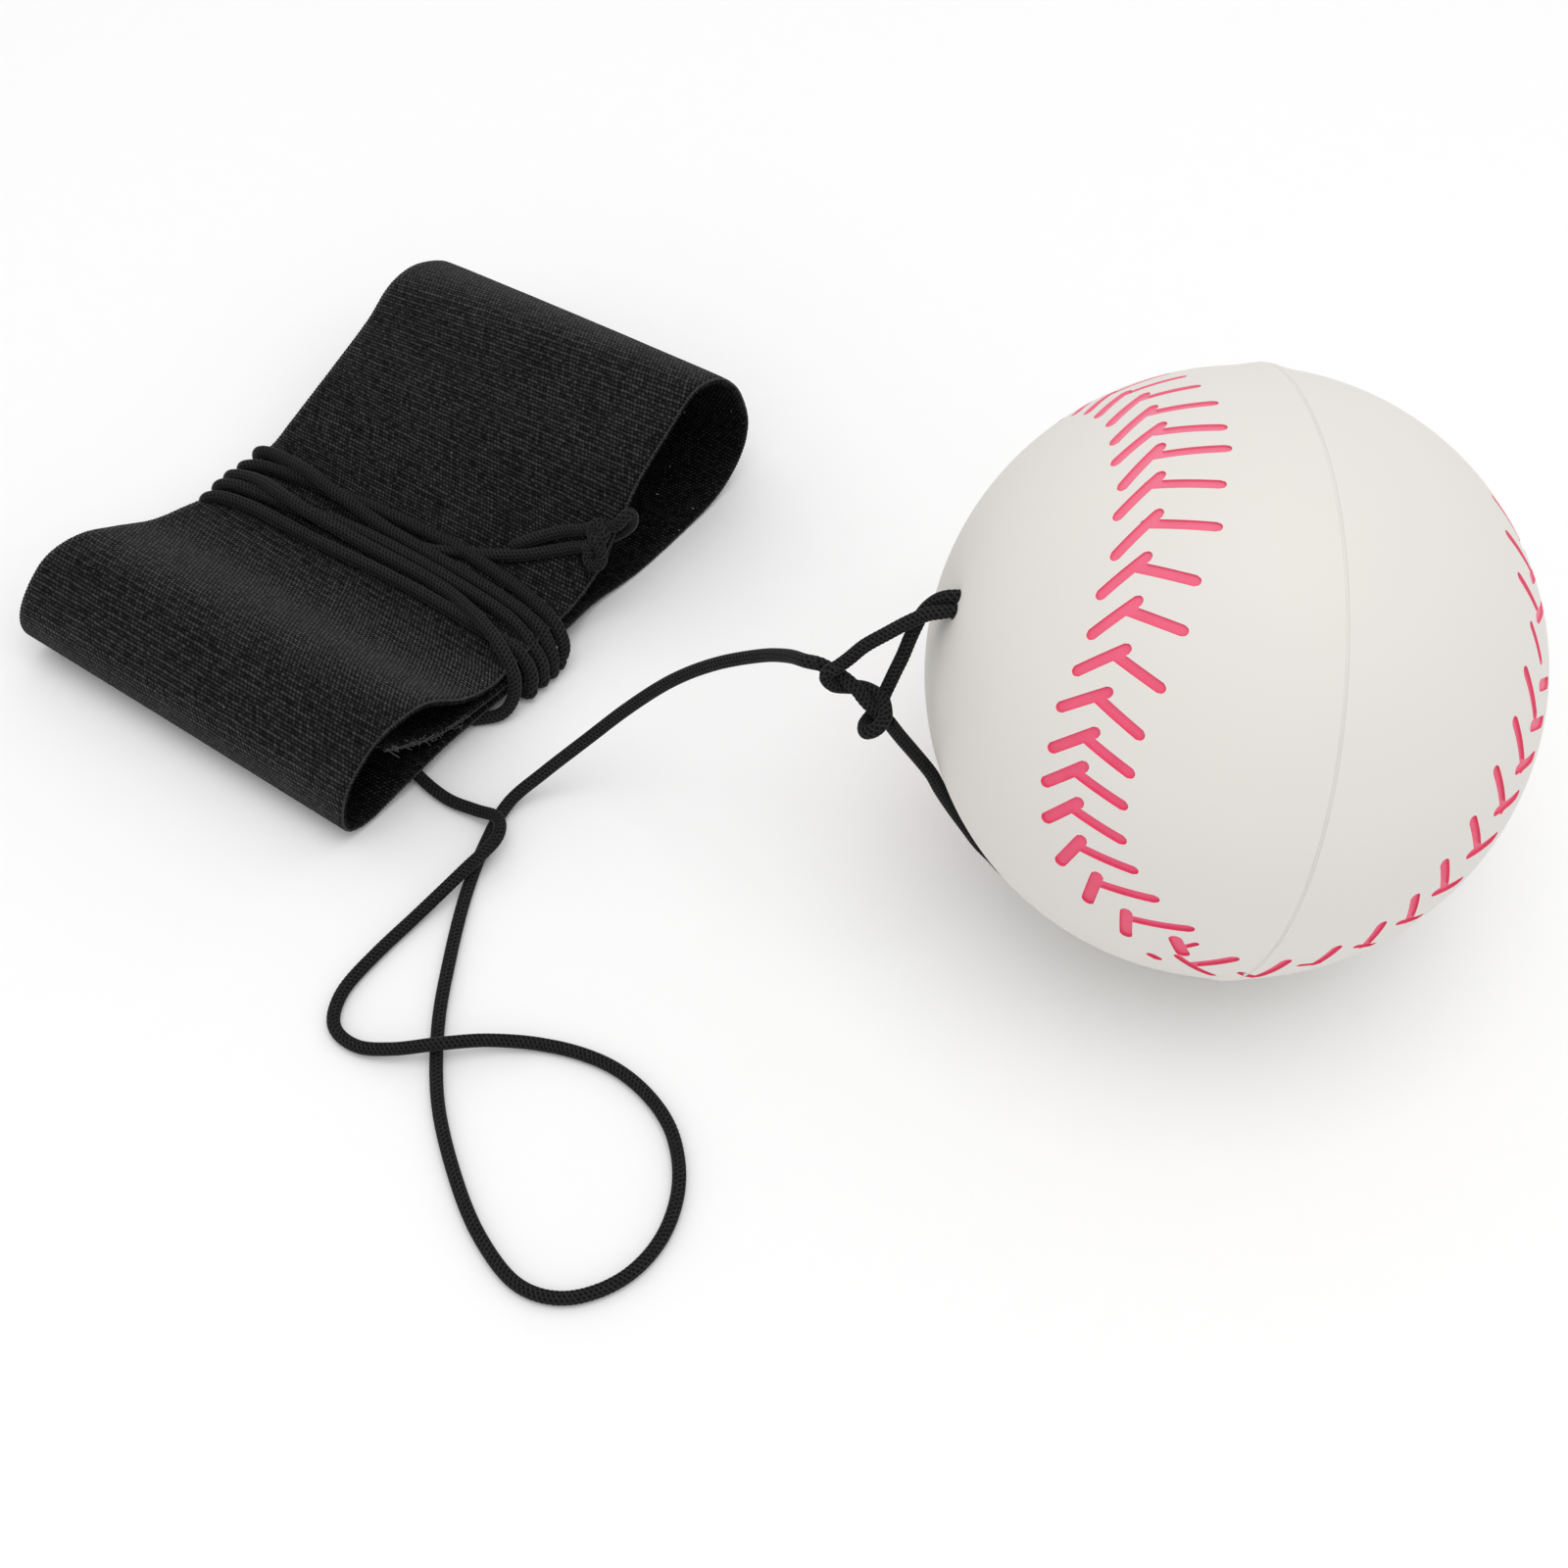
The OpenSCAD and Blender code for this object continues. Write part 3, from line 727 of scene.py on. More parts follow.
stitch = {
    "waves": (0.2891, 0.8982, -0.0246, -0.0502),  # shares of the waves that shape the seam
    "turn": ((-0.9912, 0.1089, 0.0758), (0.042, 0.7992, -0.5996), (-0.126, -0.591, -0.7967)),
    # a row for each bar that shows: its place on the seam, its start and its end from there, its width
    "short": [
        (261.2, -1.5, 0, 1.2, -4, 1.1), (257.7, -1.4, 0.1, 1.1, -4, 1.1), (254.2, -1.4, -0.1, 1.1, -4.1, 1.1),
        (250.7, -1.4, -0.2, 1.1, -4.1, 1.2), (247.1, -1.6, 0.4, 1.4, -3.8, 1.15),
        (243.4, -1.6, 0.2, 1.8, -4, 1.1), (239.8, -1.7, 0.5, 1.8, -4, 1.05),
        (236.7, -1.6, 0.2, 2.4, -3.2, 1.1), (233.1, -1.6, 0.3, 2.4, -3.2, 1.05),
        (229, -1.6, 0.6, 2.6, -2.6, 1.05), (224.8, -1.6, 0.4, 2.4, -2.9, 1.05),
        (220.8, -1.6, 0.7, 2.3, -2.5, 1.05), (216.6, -1.6, 1.1, 1.8, -2.6, 1.05),
        (212.5, -1.6, 0.9, 1.4, -3, 1.05), (208.6, -1.6, 0.9, 1.3, -2.9, 1.1),
        (205.1, -1.6, 0.5, 1.1, -3.3, 1.15), (201.4, -1.6, 0.2, 0.9, -3.5, 1.2),
        (197.3, -1.7, 0, 1.2, -3.2, 1.25), (193, -1.8, 0.4, 1.3, -2.3, 1.3),
        (187.8, -2, 1.1, 1.1, -1.5, 1.25), (184, 1.1, 2.5, 1.3, 3.8, 0.7), (184, 1.4, -2.5, 2.1, -2.6, 1.1),
        (180, -1.6, 0.1, 4.2, -3, 0.85), (172.4, -2.2, -0.6, -0.1, -2.9, 0.9),
        (166.8, -2.3, 1.1, -0.6, 0.2, 0.8), (161.7, -1.7, 2.3, -0.2, -0.3, 0.8),
        (156.9, -1.6, 2.9, 0.1, -0.5, 0.9), (152, -1.6, 3.5, 0.1, -0.2, 1.2),
        (146.7, -1.7, 3.4, -0.1, -0.8, 1.25), (141.8, -1.8, 3, -0.6, -1.3, 1.15),
        (137.7, -1.9, 1.7, -0.9, -2.7, 1.2), (133.6, -2, 0.6, -1.3, -3.4, 1.2),
        (128, -3.7, -0.6, -2.5, -4.2, 1.2),
    ],
    "long": [
        (261.2, -0.8, -0.4, 0.4, 4.9, 0.9), (257.7, -0.8, -0.4, 0.3, 5, 0.9),
        (254.2, -0.8, -0.4, 0.4, 5, 0.9), (250.7, -0.8, -0.4, 0.4, 4.9, 0.9),
        (247.1, -0.8, -0.4, 0.3, 4.9, 0.85), (243.4, -0.8, -0.8, 0.3, 5.5, 0.95),
        (239.8, -0.7, -0.1, 0.2, 5.8, 1), (236.7, -0.5, -0.4, -0.5, 6.1, 0.95),
        (233.1, -0.6, -0.7, -0.4, 5.8, 0.95), (229, -0.5, -0.4, -0.7, 6, 0.95),
        (224.8, -0.5, -0.2, -0.2, 5.2, 1.05), (220.8, -0.6, -0.1, -0.2, 5.4, 1.05),
        (216.6, -0.8, 0.2, 0.5, 5.2, 1.05), (212.5, -0.8, 0.1, 0.9, 4.8, 1.1),
        (208.6, -0.8, 0.2, 1, 4.8, 1.1), (205.1, -0.8, -0.1, 1.2, 4.5, 1.05),
        (201.4, -1, -0.7, 1.6, 4.1, 1.1), (197.3, -0.9, -0.3, 1.4, 4.4, 1.05),
        (193, -1.2, -0.2, 1.4, 4.9, 1.1), (187.8, -1.3, 0.7, 2, 5.4, 1.1), (184, -0.3, 2.8, 2.1, 1.2, 1.35),
        (180, 0.6, -0.6, 2.4, 3.2, 1.4), (172.4, -0.1, -2.9, 1.1, 3, 1.2), (166.8, -0.8, 0.3, 0.9, 4.1, 1.15),
        (161.7, -1, 1.1, 1.1, 5.3, 1.15), (156.9, -0.9, 1.5, 1.1, 6.4, 1.1), (152, -0.9, 2.8, 1.4, 7.3, 1.1),
        (146.7, -1.1, 2.6, 1.9, 7.2, 1.05), (141.8, -1.8, 1.6, 2.4, 6.6, 1),
        (137.7, -1.9, 0.4, 2.6, 5.2, 1.05), (133.6, -1.1, 0.2, 2.7, 4.2, 1.05),
        (128, -1.5, 0, 1.1, 2.9, 0.85),
    ],
    # the bars that do not show follow the same habit
    "rest": {"from": 124, "to": -20, "pitch": 4.1, "short": (-1.6, 0.5, 1.5, -3.2, 1.1),
             "long": (-0.8, 0, 0.9, 4.9, 1.05), "stray": 0.25, "strayShares": (1, 1, 1, 1, 0.4)},
    "samples": 4001,
    "ahead": 0.2,  # the step along the seam that gives its direction
    "depth": 0.25,
    "rise": 0.6,  # how far a bar's cutter stands out of the skin
    "blunt": 0.25,  # share of its width that a bar keeps at its very end
    "stations": 12,
    "paintDepth": 1.6,  # in groove depths, how far down there is paint
    "skinSlack": 0.015,
    "steep": 0.7,  # a face that turns further from the skin than this is a groove's wall
    "seed": 7,
}
bond = {
    "pole": (-0.7724, -0.6197, 0.139),
    "half": 0.15,
    "flash": 0.09,
    "cavity": 23.8,
    "sunk": 0.02,  # how far the bond's edges lie under the skin
    "shoulder": 0.6,  # share of the flash's height and width at its shoulders
    "steps": 540,
    "waves": (2, 3, 5, 9, 17, 31),  # ripples of the flash, in waves round the ring
    "waveSize": (0.2, 1),
    "wavePhase": (0, 6.3),
    "waveMean": 0.45,
    "waveShare": 0.28,
    "waveRange": (0.05, 1.4),
    "seed": 3,
    "swells": [(305, 0.4, 14), (140, 0.22, 16)],  # place round the ring, height and reach in degrees
    "swellWide": 1.5,
    "swellDeep": 0.5,
    "block": 90,  # size of the cutter that parts the halves
}


def seamLine():
    # the seam as directions from the ball's centre, and the distance run along it
    third, second, fifth, sixth = stitch["waves"]
    t = np.linspace(0, 2 * np.pi, stitch["samples"])
    curve = np.stack([np.cos(t) + third * np.cos(3 * t) + fifth * np.cos(5 * t),
                      np.sin(t) - third * np.sin(3 * t) + fifth * np.sin(5 * t),
                      second * np.sin(2 * t) + sixth * np.sin(6 * t)], 1)
    curve = curve / np.linalg.norm(curve, axis=1, keepdims=True) @ np.array(stitch["turn"]).T
    return curve, runAlong(curve) * ballSize["radius"]


def barEnds(rows):
    # start and end of each bar, on the skin
    curve, run = seamLine()
    at = lambda spot: np.array([np.interp(spot % run[-1], run, curve[:, k]) for k in range(3)])
    starts, ends = [], []
    for spot, alongA, besideA, alongB, besideB, width in rows:
        outward, ahead = at(spot), at(spot - stitch["ahead"])
        outward /= np.linalg.norm(outward)
        travel = ahead - outward * ahead.dot(outward)
        travel /= np.linalg.norm(travel)
        beside = np.cross(outward, travel)
        for along, off, kept in ((alongA, besideA, starts), (alongB, besideB, ends)):
            reach = math.hypot(along, off)
            way = (travel * along + beside * off) / reach
            angle = reach / ballSize["radius"]
            kept.append((outward * math.cos(angle) + way * math.sin(angle)) * ballSize["radius"])
    return np.array(starts), np.array(ends)


def barRows(key):
    rest = stitch["rest"]
    rng = np.random.default_rng(stitch["seed"] + len(key))
    spots = np.arange(rest["from"], rest["to"], -rest["pitch"])
    stray = lambda: rng.uniform(-1, 1, 5) * rest["stray"] * np.array(rest["strayShares"])
    return stitch[key] + [(spot, *(np.array(rest[key]) + stray())) for spot in spots]


def barTree():
    plug, depth, rise, radius, centre = newTree("stitchBars", Depth="Float", Rise="Float", Radius="Float",
                                                Centre="Vector")
    block = plug.add("GeometryNodeMeshCube", {"Size": (1, 1, 1), "Vertices X": stitch["stations"]})
    axes = plug.add("GeometryNodeInputPosition").axes()
    share = plug.sum("SINE", axes * math.pi) * 0.5 + 0.5  # stations gather at the rounded ends
    block = block.keep("share", share).keep("side", axes.pick("Y")).keep("lift", axes.pick("Z") + 0.5)
    marks = plug.add("GeometryNodeInstanceOnPoints", {"Points": plug, "Instance": block})
    marks = plug.add("GeometryNodeRealizeInstances", {0: marks})
    start, lie, across = (plug.recall(n, "FLOAT_VECTOR") for n in ("start", "lie", "across"))
    share, side, lift, reach, width = (plug.recall(n) for n in ("share", "side", "lift", "reach", "width"))
    far = share * (reach + width) - width * 0.5
    near = plug.sum("MINIMUM", far + width * 0.5, reach + width * 0.5 - far)
    lack = 1 - plug.sum("MINIMUM", near / (width * 0.5), 1.0)
    swell = plug.sum("MAXIMUM", plug.sum("SQRT", 1 - lack * lack), stitch["blunt"])
    spot = start.vector("ADD", {1: lie.scaled(far)})
    spot = spot.vector("ADD", {1: across.scaled(side * width * swell)})
    height = radius + lift * (rise + depth) - depth
    skin = spot.vector("NORMALIZE").scaled(height).vector("ADD", {1: centre})
    return endTree(plug.add("GeometryNodeSetPosition", {0: marks, "Position": skin}), stitchPaint)


def barCutter(name, tree, rows):
    starts, ends = barEnds(rows)
    lie = ends - starts
    reach = np.linalg.norm(lie, axis=1)
    lie /= reach[:, None]
    across = np.cross(starts / ballSize["radius"], lie)
    mesh = plainMesh(name, starts)
    for label, values in (("start", starts * mm), ("lie", lie), ("across", across)):
        setPointData(mesh, label, values, "FLOAT_VECTOR")
    setPointData(mesh, "reach", reach * mm)
    setPointData(mesh, "width", [row[-1] * mm for row in rows])
    return runTree(name, mesh, tree, Depth=stitch["depth"] * mm, Rise=stitch["rise"] * mm,
                   Radius=ballSize["radius"] * mm, Centre=[c * mm for c in ballSize["centre"]])


def sphereMesh(name, radius, level):
    work = bmesh.new()
    bmesh.ops.create_icosphere(work, subdivisions=level, radius=radius * mm,
                               matrix=Matrix.Translation(Vector(ballSize["centre"]) * mm))
    return workedMesh(name, work)


def carve(piece, cutter):
    cut = piece.modifiers.new("carve", "BOOLEAN")
    cut.operation, cut.solver, cut.object = "DIFFERENCE", "MANIFOLD", cutter
    piece.data = finishedMesh(piece)
    bpy.data.objects.remove(cutter)


def rodCutter(name, start, end, radius, past):
    a, b = Vector(start), Vector(end)
    way = (b - a).normalized()
    work = bmesh.new()
    spot = Matrix.Translation((a + b) / 2 * mm) @ way.to_track_quat("Z", "Y").to_matrix().to_4x4()
    size = radius * mm
    bmesh.ops.create_cone(work, cap_ends=True, segments=tunnel["sides"], radius1=size, radius2=size,
                          depth=((b - a).length + 2 * past) * mm, matrix=spot)
    return addPiece(name, workedMesh(name, work))


def sideCutter(name, side):
    # a block that takes away one side of the mould plane and half the bond
    pole = Vector(bond["pole"]).normalized() * side
    turn = pole.to_track_quat("Z", "Y").to_matrix().to_4x4()
    middle = Vector(ballSize["centre"]) + pole * (bond["block"] / 2 - bond["half"])
    work = bmesh.new()
    bmesh.ops.create_cube(work, size=bond["block"] * mm, matrix=Matrix.Translation(middle * mm) @ turn)
    return addPiece(name, workedMesh(name, work))


def dressBall(mesh):
    # paint in the grooves, and a round skin under smooth light
    mesh.materials.clear()
    for finish in (rubberSkin, stitchPaint):
        mesh.materials.append(finish)
    centre = Vector(ballSize["centre"]) * mm
    mouths = [Vector(loop[key][-2]) * mm for key in ("upper", "tail", "lower")]
    radius = ballSize["radius"] * mm
    deepest, skin = radius - stitch["depth"] * mm * stitch["paintDepth"], radius - stitch["skinSlack"] * mm
    normals = [None] * len(mesh.loops)
    for face in mesh.polygons:
        face.use_smooth = True
        away = face.center - centre
        reach = away.length
        inMouth = any((face.center - spot).length < tunnel["bare"] * mm for spot in mouths)
        face.material_index = 1 if deepest < reach < skin and not inMouth else 0
        wall = abs(away.normalized().dot(face.normal)) < stitch["steep"]
        for k in face.loop_indices:
            point = mesh.vertices[mesh.loops[k].vertex_index].co - centre
            normals[k] = face.normal if wall or reach < deepest else point.normalized()
    mesh.normals_split_custom_set([tuple(n) for n in normals])


def bondAxes():
    pole = np.array(bond["pole"]) / np.linalg.norm(bond["pole"])
    side = np.cross(pole, (0, 0, 1))
    side /= np.linalg.norm(side)
    return pole, side, np.cross(pole, side)


def swellBall(mesh):
    # the skin stands up a little beside the mould line, in two places
    points = np.empty(len(mesh.vertices) * 3, np.float32)
    mesh.vertices.foreach_get("co", points)
    away = points.reshape(-1, 3) / mm - np.array(ballSize["centre"])
    reach = np.linalg.norm(away, axis=1)
    pole, side, over = bondAxes()
    turn = np.degrees(np.arctan2(away @ over, away @ side))
    lift = np.zeros(len(away))
    for place, height, wide in bond["swells"]:
        off = (turn - place + 180) % 360 - 180
        lift += height * np.exp(-(off / wide) ** 2 - (away @ pole / bond["swellWide"]) ** 2)
    lift[reach < ballSize["radius"] - bond["swellDeep"]] = 0
    away *= (1 + lift / reach)[:, None]
    mesh.vertices.foreach_set("co", ((away + np.array(ballSize["centre"])) * mm).astype(np.float32).ravel())
    mesh.update()


def makeBall():
    ball = addPiece("ballWork", sphereMesh("ballWork", ballSize["radius"], ballSize["levels"]))
    bars = barTree()
    for key in ("short", "long"):
        carve(ball, barCutter(key + "Bars", bars, barRows(key)))
    carve(ball, rodCutter("bore", tunnel["top"], tunnel["foot"], tunnel["bore"], -tunnel["inset"]))
    for key in ("upper", "tail", "lower"):
        inside, outside = loop[key][-1], loop[key][-tunnel["mouthPoints"]]
        carve(ball, rodCutter(key + "Mouth", inside, outside, tunnel["mouth"], tunnel["mouthPast"]))
    carve(ball, addPiece("cavity", sphereMesh("cavity", bond["cavity"], ballSize["cavityLevels"])))
    for name, node, side in (("ballTunnelHalf", "ball_half_tunnel", -1),
                             ("ballPlainHalf", "ball_half_plain", 1)):
        half = addPiece(name, ball.data.copy())
        carve(half, sideCutter(name + "Cutter", side))
        half.data.name = name
        dressBall(half.data)
        swellBall(half.data)
        seat(half, "ball", "ball_rubber", node)
        print(name, len(half.data.polygons), "faces")
    bpy.data.objects.remove(ball)


def makeBond():
    pole, side, over = bondAxes()
    rng = np.random.default_rng(bond["seed"])
    angle = np.arange(bond["steps"]) / bond["steps"] * 2 * np.pi
    wave = sum(rng.uniform(*bond["waveSize"]) * np.sin(k * angle + rng.uniform(*bond["wavePhase"]))
               for k in bond["waves"])
    flash = bond["flash"] * np.clip(bond["waveMean"] + bond["waveShare"] * wave, *bond["waveRange"])
    inner, outer, edge = bond["cavity"], ballSize["radius"], ballSize["radius"] - bond["sunk"]
    half, part = bond["half"], bond["shoulder"]
    points, faces = [], []
    for a, h in zip(angle, flash):
        ray = math.cos(a) * side + math.sin(a) * over
        shape = [(inner, -half), (edge, -half), (outer + part * h, -part * half), (outer + h, 0),
                 (outer + part * h, part * half), (edge, half), (inner, half)]
        points += [np.array(ballSize["centre"]) + ray * r + pole * p for r, p in shape]
    n = len(shape)
    for i in range(bond["steps"]):
        j = (i + 1) % bond["steps"]
        faces += [(i * n + k, i * n + (k + 1) % n, j * n + (k + 1) % n, j * n + k) for k in range(n)]
    mesh = plainMesh("bondLine", points, faces)
    faceOutwards(mesh)
    mesh.shade_smooth()
    swellBall(mesh)
    ring = addPiece("bondLine", mesh, bondTone)
    seat(ring, "ball", "bond_line", "ball_bond")
    print("bond line made")


makeBall()
makeBond()

# the band: one strip, from its loose inner end round both lobes to its outer end

strip = {
    # matching points along its two long edges
    "near": [
        (-28, -33, 9.6), (-28, -29.5, 7), (-28, -25.5, 4.6), (-27.7, -21, 3.6), (-27.1, -14.5, 3.25),
        (-26.9, -8, 3.25), (-27, -2, 3.1), (-27.8, 3, 1.5), (-27.2, 10, 0.65), (-26.8, 19, 0.65),
        (-26.5, 25.3, 1.5), (-26.3, 29.6, 4.6), (-26.1, 30.8, 9), (-26, 29.5, 14.2), (-26, 27.6, 17.6),
        (-25.8, 24.6, 20.6), (-25.8, 20.3, 21.8), (-26, 15.2, 19.1), (-26.3, 9.8, 15.5), (-26.8, 5.6, 10),
        (-27, 2.5, 6.9), (-27.3, -2, 4.85), (-27.45, -8, 4.55), (-27.3, -14, 4.6), (-26.8, -17.6, 5.6),
        (-26.7, -22, 7.8), (-27, -26.7, 11.6), (-27.3, -30.5, 12.6), (-27.6, -34.7, 12.2),
        (-28.1, -38.6, 9.2), (-28.4, -40.2, 5.6), (-28.6, -39.9, 2.4), (-28.5, -37, 1.1), (-28, -32, 1.9),
        (-27.8, -29, 2.2), (-27.8, -25, 2.2), (-27.4, -18, 2.05), (-27, -13, 2), (-26.95, -9, 2),
        (-27.1, -4.4, 1.95),
    ],
    "far": [
        (-74, -31, 9.2), (-74, -28, 6.6), (-74, -24, 4.4), (-74, -19.5, 3.5), (-73.5, -13, 3.1),
        (-73.5, -7, 3.1), (-73.5, -1, 3.1), (-73.5, 4, 1.9), (-73.5, 11, 0.75), (-73.2, 19, 0.65),
        (-73, 26, 1.2), (-73, 31.2, 3.6), (-73, 32.8, 7.3), (-73, 31.1, 10.9), (-73.1, 27.8, 13.3),
        (-73.2, 24.2, 14.55), (-73.3, 20.5, 14.1), (-73.5, 16.5, 11.6), (-73.8, 11, 9.2), (-73.9, 6, 7.4),
        (-74, 1.5, 5.8), (-74.2, -2, 4.45), (-74.3, -7, 4.15), (-74.6, -12, 4.05), (-75.8, -16, 4.2),
        (-76.5, -20.4, 5.2), (-76.9, -25, 7.8), (-77, -30, 10.6), (-77, -35, 11.2), (-77, -39, 8.6),
        (-77, -40.6, 5.6), (-77, -39.6, 2.6), (-77, -36.5, 0.85), (-77, -31, 0.75), (-77, -26, 0.75),
        (-76, -21, 0.9), (-75, -16, 1.6), (-74, -12, 2), (-74, -8, 2), (-74, -3.4, 2),
    ],
    "width": 50.0,
    "thickness": 0.8,
    "cell": 0.8,  # size of one face of the mesh
    "steps": 14,
    "fuller": 0.5,  # how far the far lobe swells between its edges
    "fullFrom": 7.0,  # heights at which that begins and is whole
    "fullAt": 15.0,
    "fullShape": 0.7,  # below 1, the swelling is flatter in the middle
}


def stripGrid():
    near, far = (smoothLine(strip[edge], strip["steps"]) for edge in ("near", "far"))
    down = max(lineLength(near), lineLength(far))
    rows, columns = int(down / strip["cell"]), int(strip["width"] / strip["cell"])
    # both edges keep their pairs of points, and the rows are spread by the mean of the two
    run = runAlong((near + far) / 2)
    spots = np.linspace(0, run[-1], rows + 1)
    pick = lambda line: np.stack([np.interp(spots, run, line[:, k]) for k in range(3)], 1)
    near, far = pick(near), pick(far)
    share = np.linspace(0, 1, columns + 1)[None, :, None]
    grid = near[:, None] * (1 - share) + far[:, None] * share
    y, z = grid.mean(axis=1).T[1:]
    full = np.clip((z - strip["fullFrom"]) / (strip["fullAt"] - strip["fullFrom"]), 0, 1) * (y > 0)
    bulge = np.sin(math.pi * share) ** strip["fullShape"]
    grid += stripNormals(grid) * strip["fuller"] * full[:, None, None] * bulge
    return grid, spots


def stripNormals(grid):
    # the way that the strip's face looks at each point
    along, across = np.gradient(grid, axis=0), np.gradient(grid, axis=1)
    normals = np.cross(across, along)
    return normals / np.linalg.norm(normals, axis=2, keepdims=True)


def makeStrip():
    grid, spots = stripGrid()
    rows, columns = grid.shape[0] - 1, grid.shape[1] - 1
    at = lambda i, j: i * (columns + 1) + j
    faces = [(at(i, j), at(i, j + 1), at(i + 1, j + 1), at(i + 1, j))
             for i in range(rows) for j in range(columns)]
    mesh = plainMesh("fabricStrip", grid.reshape(-1, 3), faces)
    spread = mesh.uv_layers.new(name="weave")
    cross = np.linspace(0, strip["width"], columns + 1)
    for loopPoint in mesh.loops:
        i, j = divmod(loopPoint.vertex_index, columns + 1)
        spread.data[loopPoint.index].uv = (cross[j], spots[i])
    mesh.shade_smooth()
    band = addPiece("fabricStrip", mesh, fabric)
    mesh.materials.append(shadedFabricBack)
    solid = band.modifiers.new("thickness", "SOLIDIFY")
    # the back face and the rims take the darker copy of the fabric, painted shade
    solid.material_offset = solid.material_offset_rim = 1
    solid.thickness, solid.offset, solid.use_even_offset = strip["thickness"] * mm, 0, True
    band.data = finishedMesh(band)
    band.data.name = "fabricStrip"
    faceOutwards(band.data)
    seat(band, "wristband", "woven_fabric", "band_strap")
    print("fabric strip: %.0f mm long" % spots[-1], len(band.data.polygons), "faces")
    return band, grid, spots


edging = {
    "pitch": 0.42,
    "bead": (0.24, 0.14, 0.17),  # along the edge, outwards and through the strip
    "least": (0.85, 0.8, 0.92),  # shares of that size, for the smallest and the largest bead
    "most": (1.15, 1.2, 1.05),
    "lift": 0.26,  # towards the face
    "segments": 8,
    "rings": 5,
    "seed": 5,
}


def beadTree():
    plug, pitch, size, seed = newTree("selvedgeBeads", Pitch="Float", Size="Vector", Seed="Int")
    line = plug.add("GeometryNodeMeshToCurve", {0: plug})
    line = plug.add("GeometryNodeResampleCurve", {0: line, "Length": pitch}, mode="LENGTH")
    bead = plug.add("GeometryNodeMeshUVSphere",
                    {"Segments": edging["segments"], "Rings": edging["rings"], "Radius": 1.0})
    face, tangent = plug.recall("face", "FLOAT_VECTOR"), plug.add("GeometryNodeInputTangent")
    turn = plug.add("FunctionNodeAxesToRotation", {"Primary Axis": face, "Secondary Axis": tangent},
                    primary_axis="Z", secondary_axis="X")
    vary = plug.add("FunctionNodeRandomValue", {0: edging["least"], 1: edging["most"], "Seed": seed},
                    data_type="FLOAT_VECTOR")
    beads = plug.add("GeometryNodeInstanceOnPoints", {"Points": line, "Instance": bead, "Rotation": turn,
                                                      "Scale": size.vector("MULTIPLY", {1: vary})})
    beads = plug.add("GeometryNodeRealizeInstances", {0: beads})
    beads = plug.add("GeometryNodeSetShadeSmooth", {0: beads})
    return endTree(beads, selvedgeThread)


def makeSelvedge(grid):
    facing = stripNormals(grid)
    lines = [grid[:, side] + facing[:, side] * edging["lift"] for side in (0, -1)]
    mesh = lineMesh("selvedge", lines)
    setPointData(mesh, "face", np.concatenate([facing[:, 0], facing[:, -1]]), "FLOAT_VECTOR")
    selvedge = runTree("selvedge", mesh, beadTree(), Pitch=edging["pitch"] * mm,
                       Size=[s * mm for s in edging["bead"]], Seed=edging["seed"])
    seat(selvedge, "wristband", "woven_fabric")
    print("selvedge:", len(selvedge.data.polygons), "faces")
    return selvedge


seam = {
    "rows": (-10.5, -5.5),
    "from": -70.0,
    "pitch": 5.0,
    "count": 9,
    "length": 3.0,
    "thread": 0.15,  # half its thickness
    "corner": 2.0,  # radius of a stitch's corners, in such halves
    "cornerSteps": 3,
    "sides": 6,
    "low": 1.5,
    "high": 3.85,
}


def seamTree():
    plug, length, height, thread = newTree("seamStitches", Length="Float", Height="Float", Thread="Float")
    bend = plug.add("GeometryNodeCurvePrimitiveQuadrilateral", {"Width": length, "Height": height})
    corner = {0: bend, "Radius": thread * seam["corner"], "Count": seam["cornerSteps"]}
    bend = plug.add("GeometryNodeFilletCurve", corner, mode="POLY")
    ring = plug.add("GeometryNodeCurvePrimitiveCircle", {"Resolution": seam["sides"], "Radius": thread})
    wire = plug.add("GeometryNodeCurveToMesh", {0: bend, "Profile Curve": ring})
    stand = plug.add("FunctionNodeEulerToRotation", {0: (math.pi / 2, 0, 0)})
    many = plug.add("GeometryNodeInstanceOnPoints", {"Points": plug, "Instance": wire, "Rotation": stand})
    return endTree(many, selvedgeThread)


def makeSeam():
    middle = (seam["low"] + seam["high"]) / 2
    places = [seam["from"] + k * seam["pitch"] for k in range(seam["count"])]
    points = [(x, y, middle) for y in seam["rows"] for x in places]
    stitches = runTree("closingStitches", plainMesh("closingStitches", points), seamTree(),
                       Length=seam["length"] * mm, Height=(seam["high"] - seam["low"]) * mm,
                       Thread=seam["thread"] * mm)
    seat(stitches, "wristband", "sewing_thread", "closing_stitches")
    print("closing stitches made")


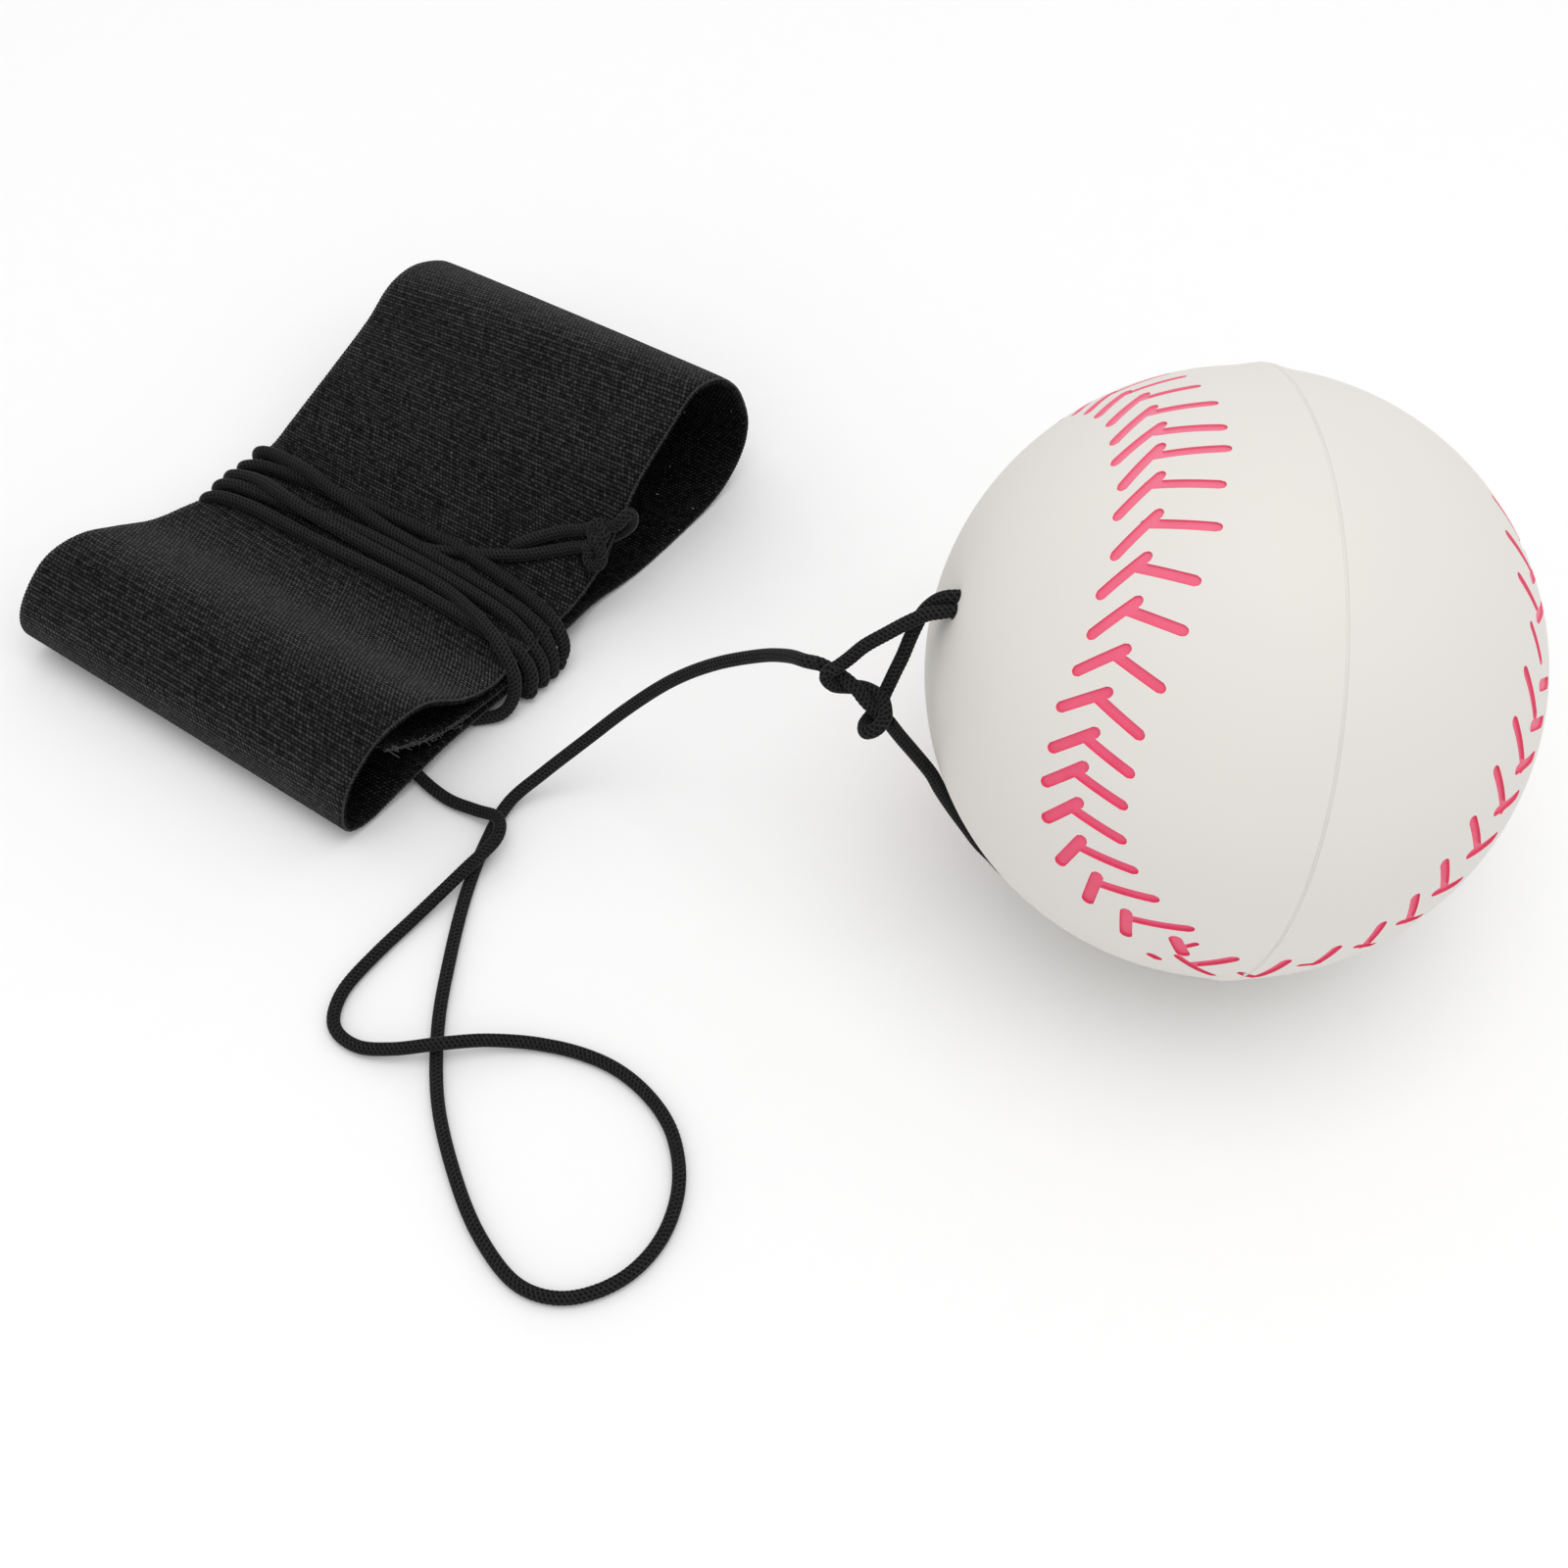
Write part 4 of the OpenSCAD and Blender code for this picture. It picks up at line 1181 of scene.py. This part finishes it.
fray = {
    "count": 80,
    "onCut": 3,  # every third thread hangs from the cut
    "length": (0.3, 0.9),
    "thread": 0.035,
    "sides": 5,
    "reach": 18,  # how many rows of the near edge are frayed
    "lift": 0.5,
    "root": 0.3,  # how deep in the strip a thread begins
    "slide": 0.7,  # how far the threads lean
    "middle": (0.3, 0.5),  # share of the lean and of the length at the middle of a thread
    "tip": 0.7,
    "strays": 3,
    "strayFar": 0.16,
    "seed": 11,
}


def frayLines(grid):
    # short loose threads along the strip's inner end: its near edge and its cut
    rng = np.random.default_rng(fray["seed"])
    facing = stripNormals(grid)
    lines = []
    for k in range(fray["count"]):
        onCut = k % fray["onCut"] == 0
        i = 0 if onCut else int(rng.uniform(0, fray["reach"]))
        j = int(rng.uniform(0, grid.shape[1])) if onCut else 0
        start = grid[i, j] + facing[i, j] * rng.uniform(-fray["lift"], fray["lift"])
        away = grid[0, j] - grid[1, j] if onCut else grid[i, 0] - grid[i, 1]
        away = away / np.linalg.norm(away)
        slide = rng.normal(0, fray["slide"], 3)
        size = rng.uniform(*fray["length"])
        lean, along = fray["middle"]
        lines.append(np.array([start - away * fray["root"], start + (away + slide * lean) * size * along,
                               start + (away + slide) * size * fray["tip"]]))
    for k in range(fray["strays"]):
        lines.append(np.array([grid[i, 0] + rng.normal(0, fray["strayFar"], 3)
                               for i in range(0, fray["reach"], 2)]))
    return lines


def frayTree():
    plug, thread = newTree("frayedThreads", Thread="Float")
    line = plug.add("GeometryNodeMeshToCurve", {0: plug})
    ring = plug.add("GeometryNodeCurvePrimitiveCircle", {"Resolution": fray["sides"], "Radius": thread})
    wire = plug.add("GeometryNodeCurveToMesh", {0: line, "Profile Curve": ring, "Fill Caps": True})
    return endTree(wire, frayThread)


def makeFray(grid):
    threads = runTree("frayedEdge", lineMesh("frayedEdge", frayLines(grid)), frayTree(),
                      Thread=fray["thread"] * mm)
    seat(threads, "wristband", "sewing_thread")
    print("frayed edge made")
    return threads


band, grid, spots = makeStrip()
selvedge = makeSelvedge(grid)
makeSeam()
threads = makeFray(grid)

print("all pieces made")
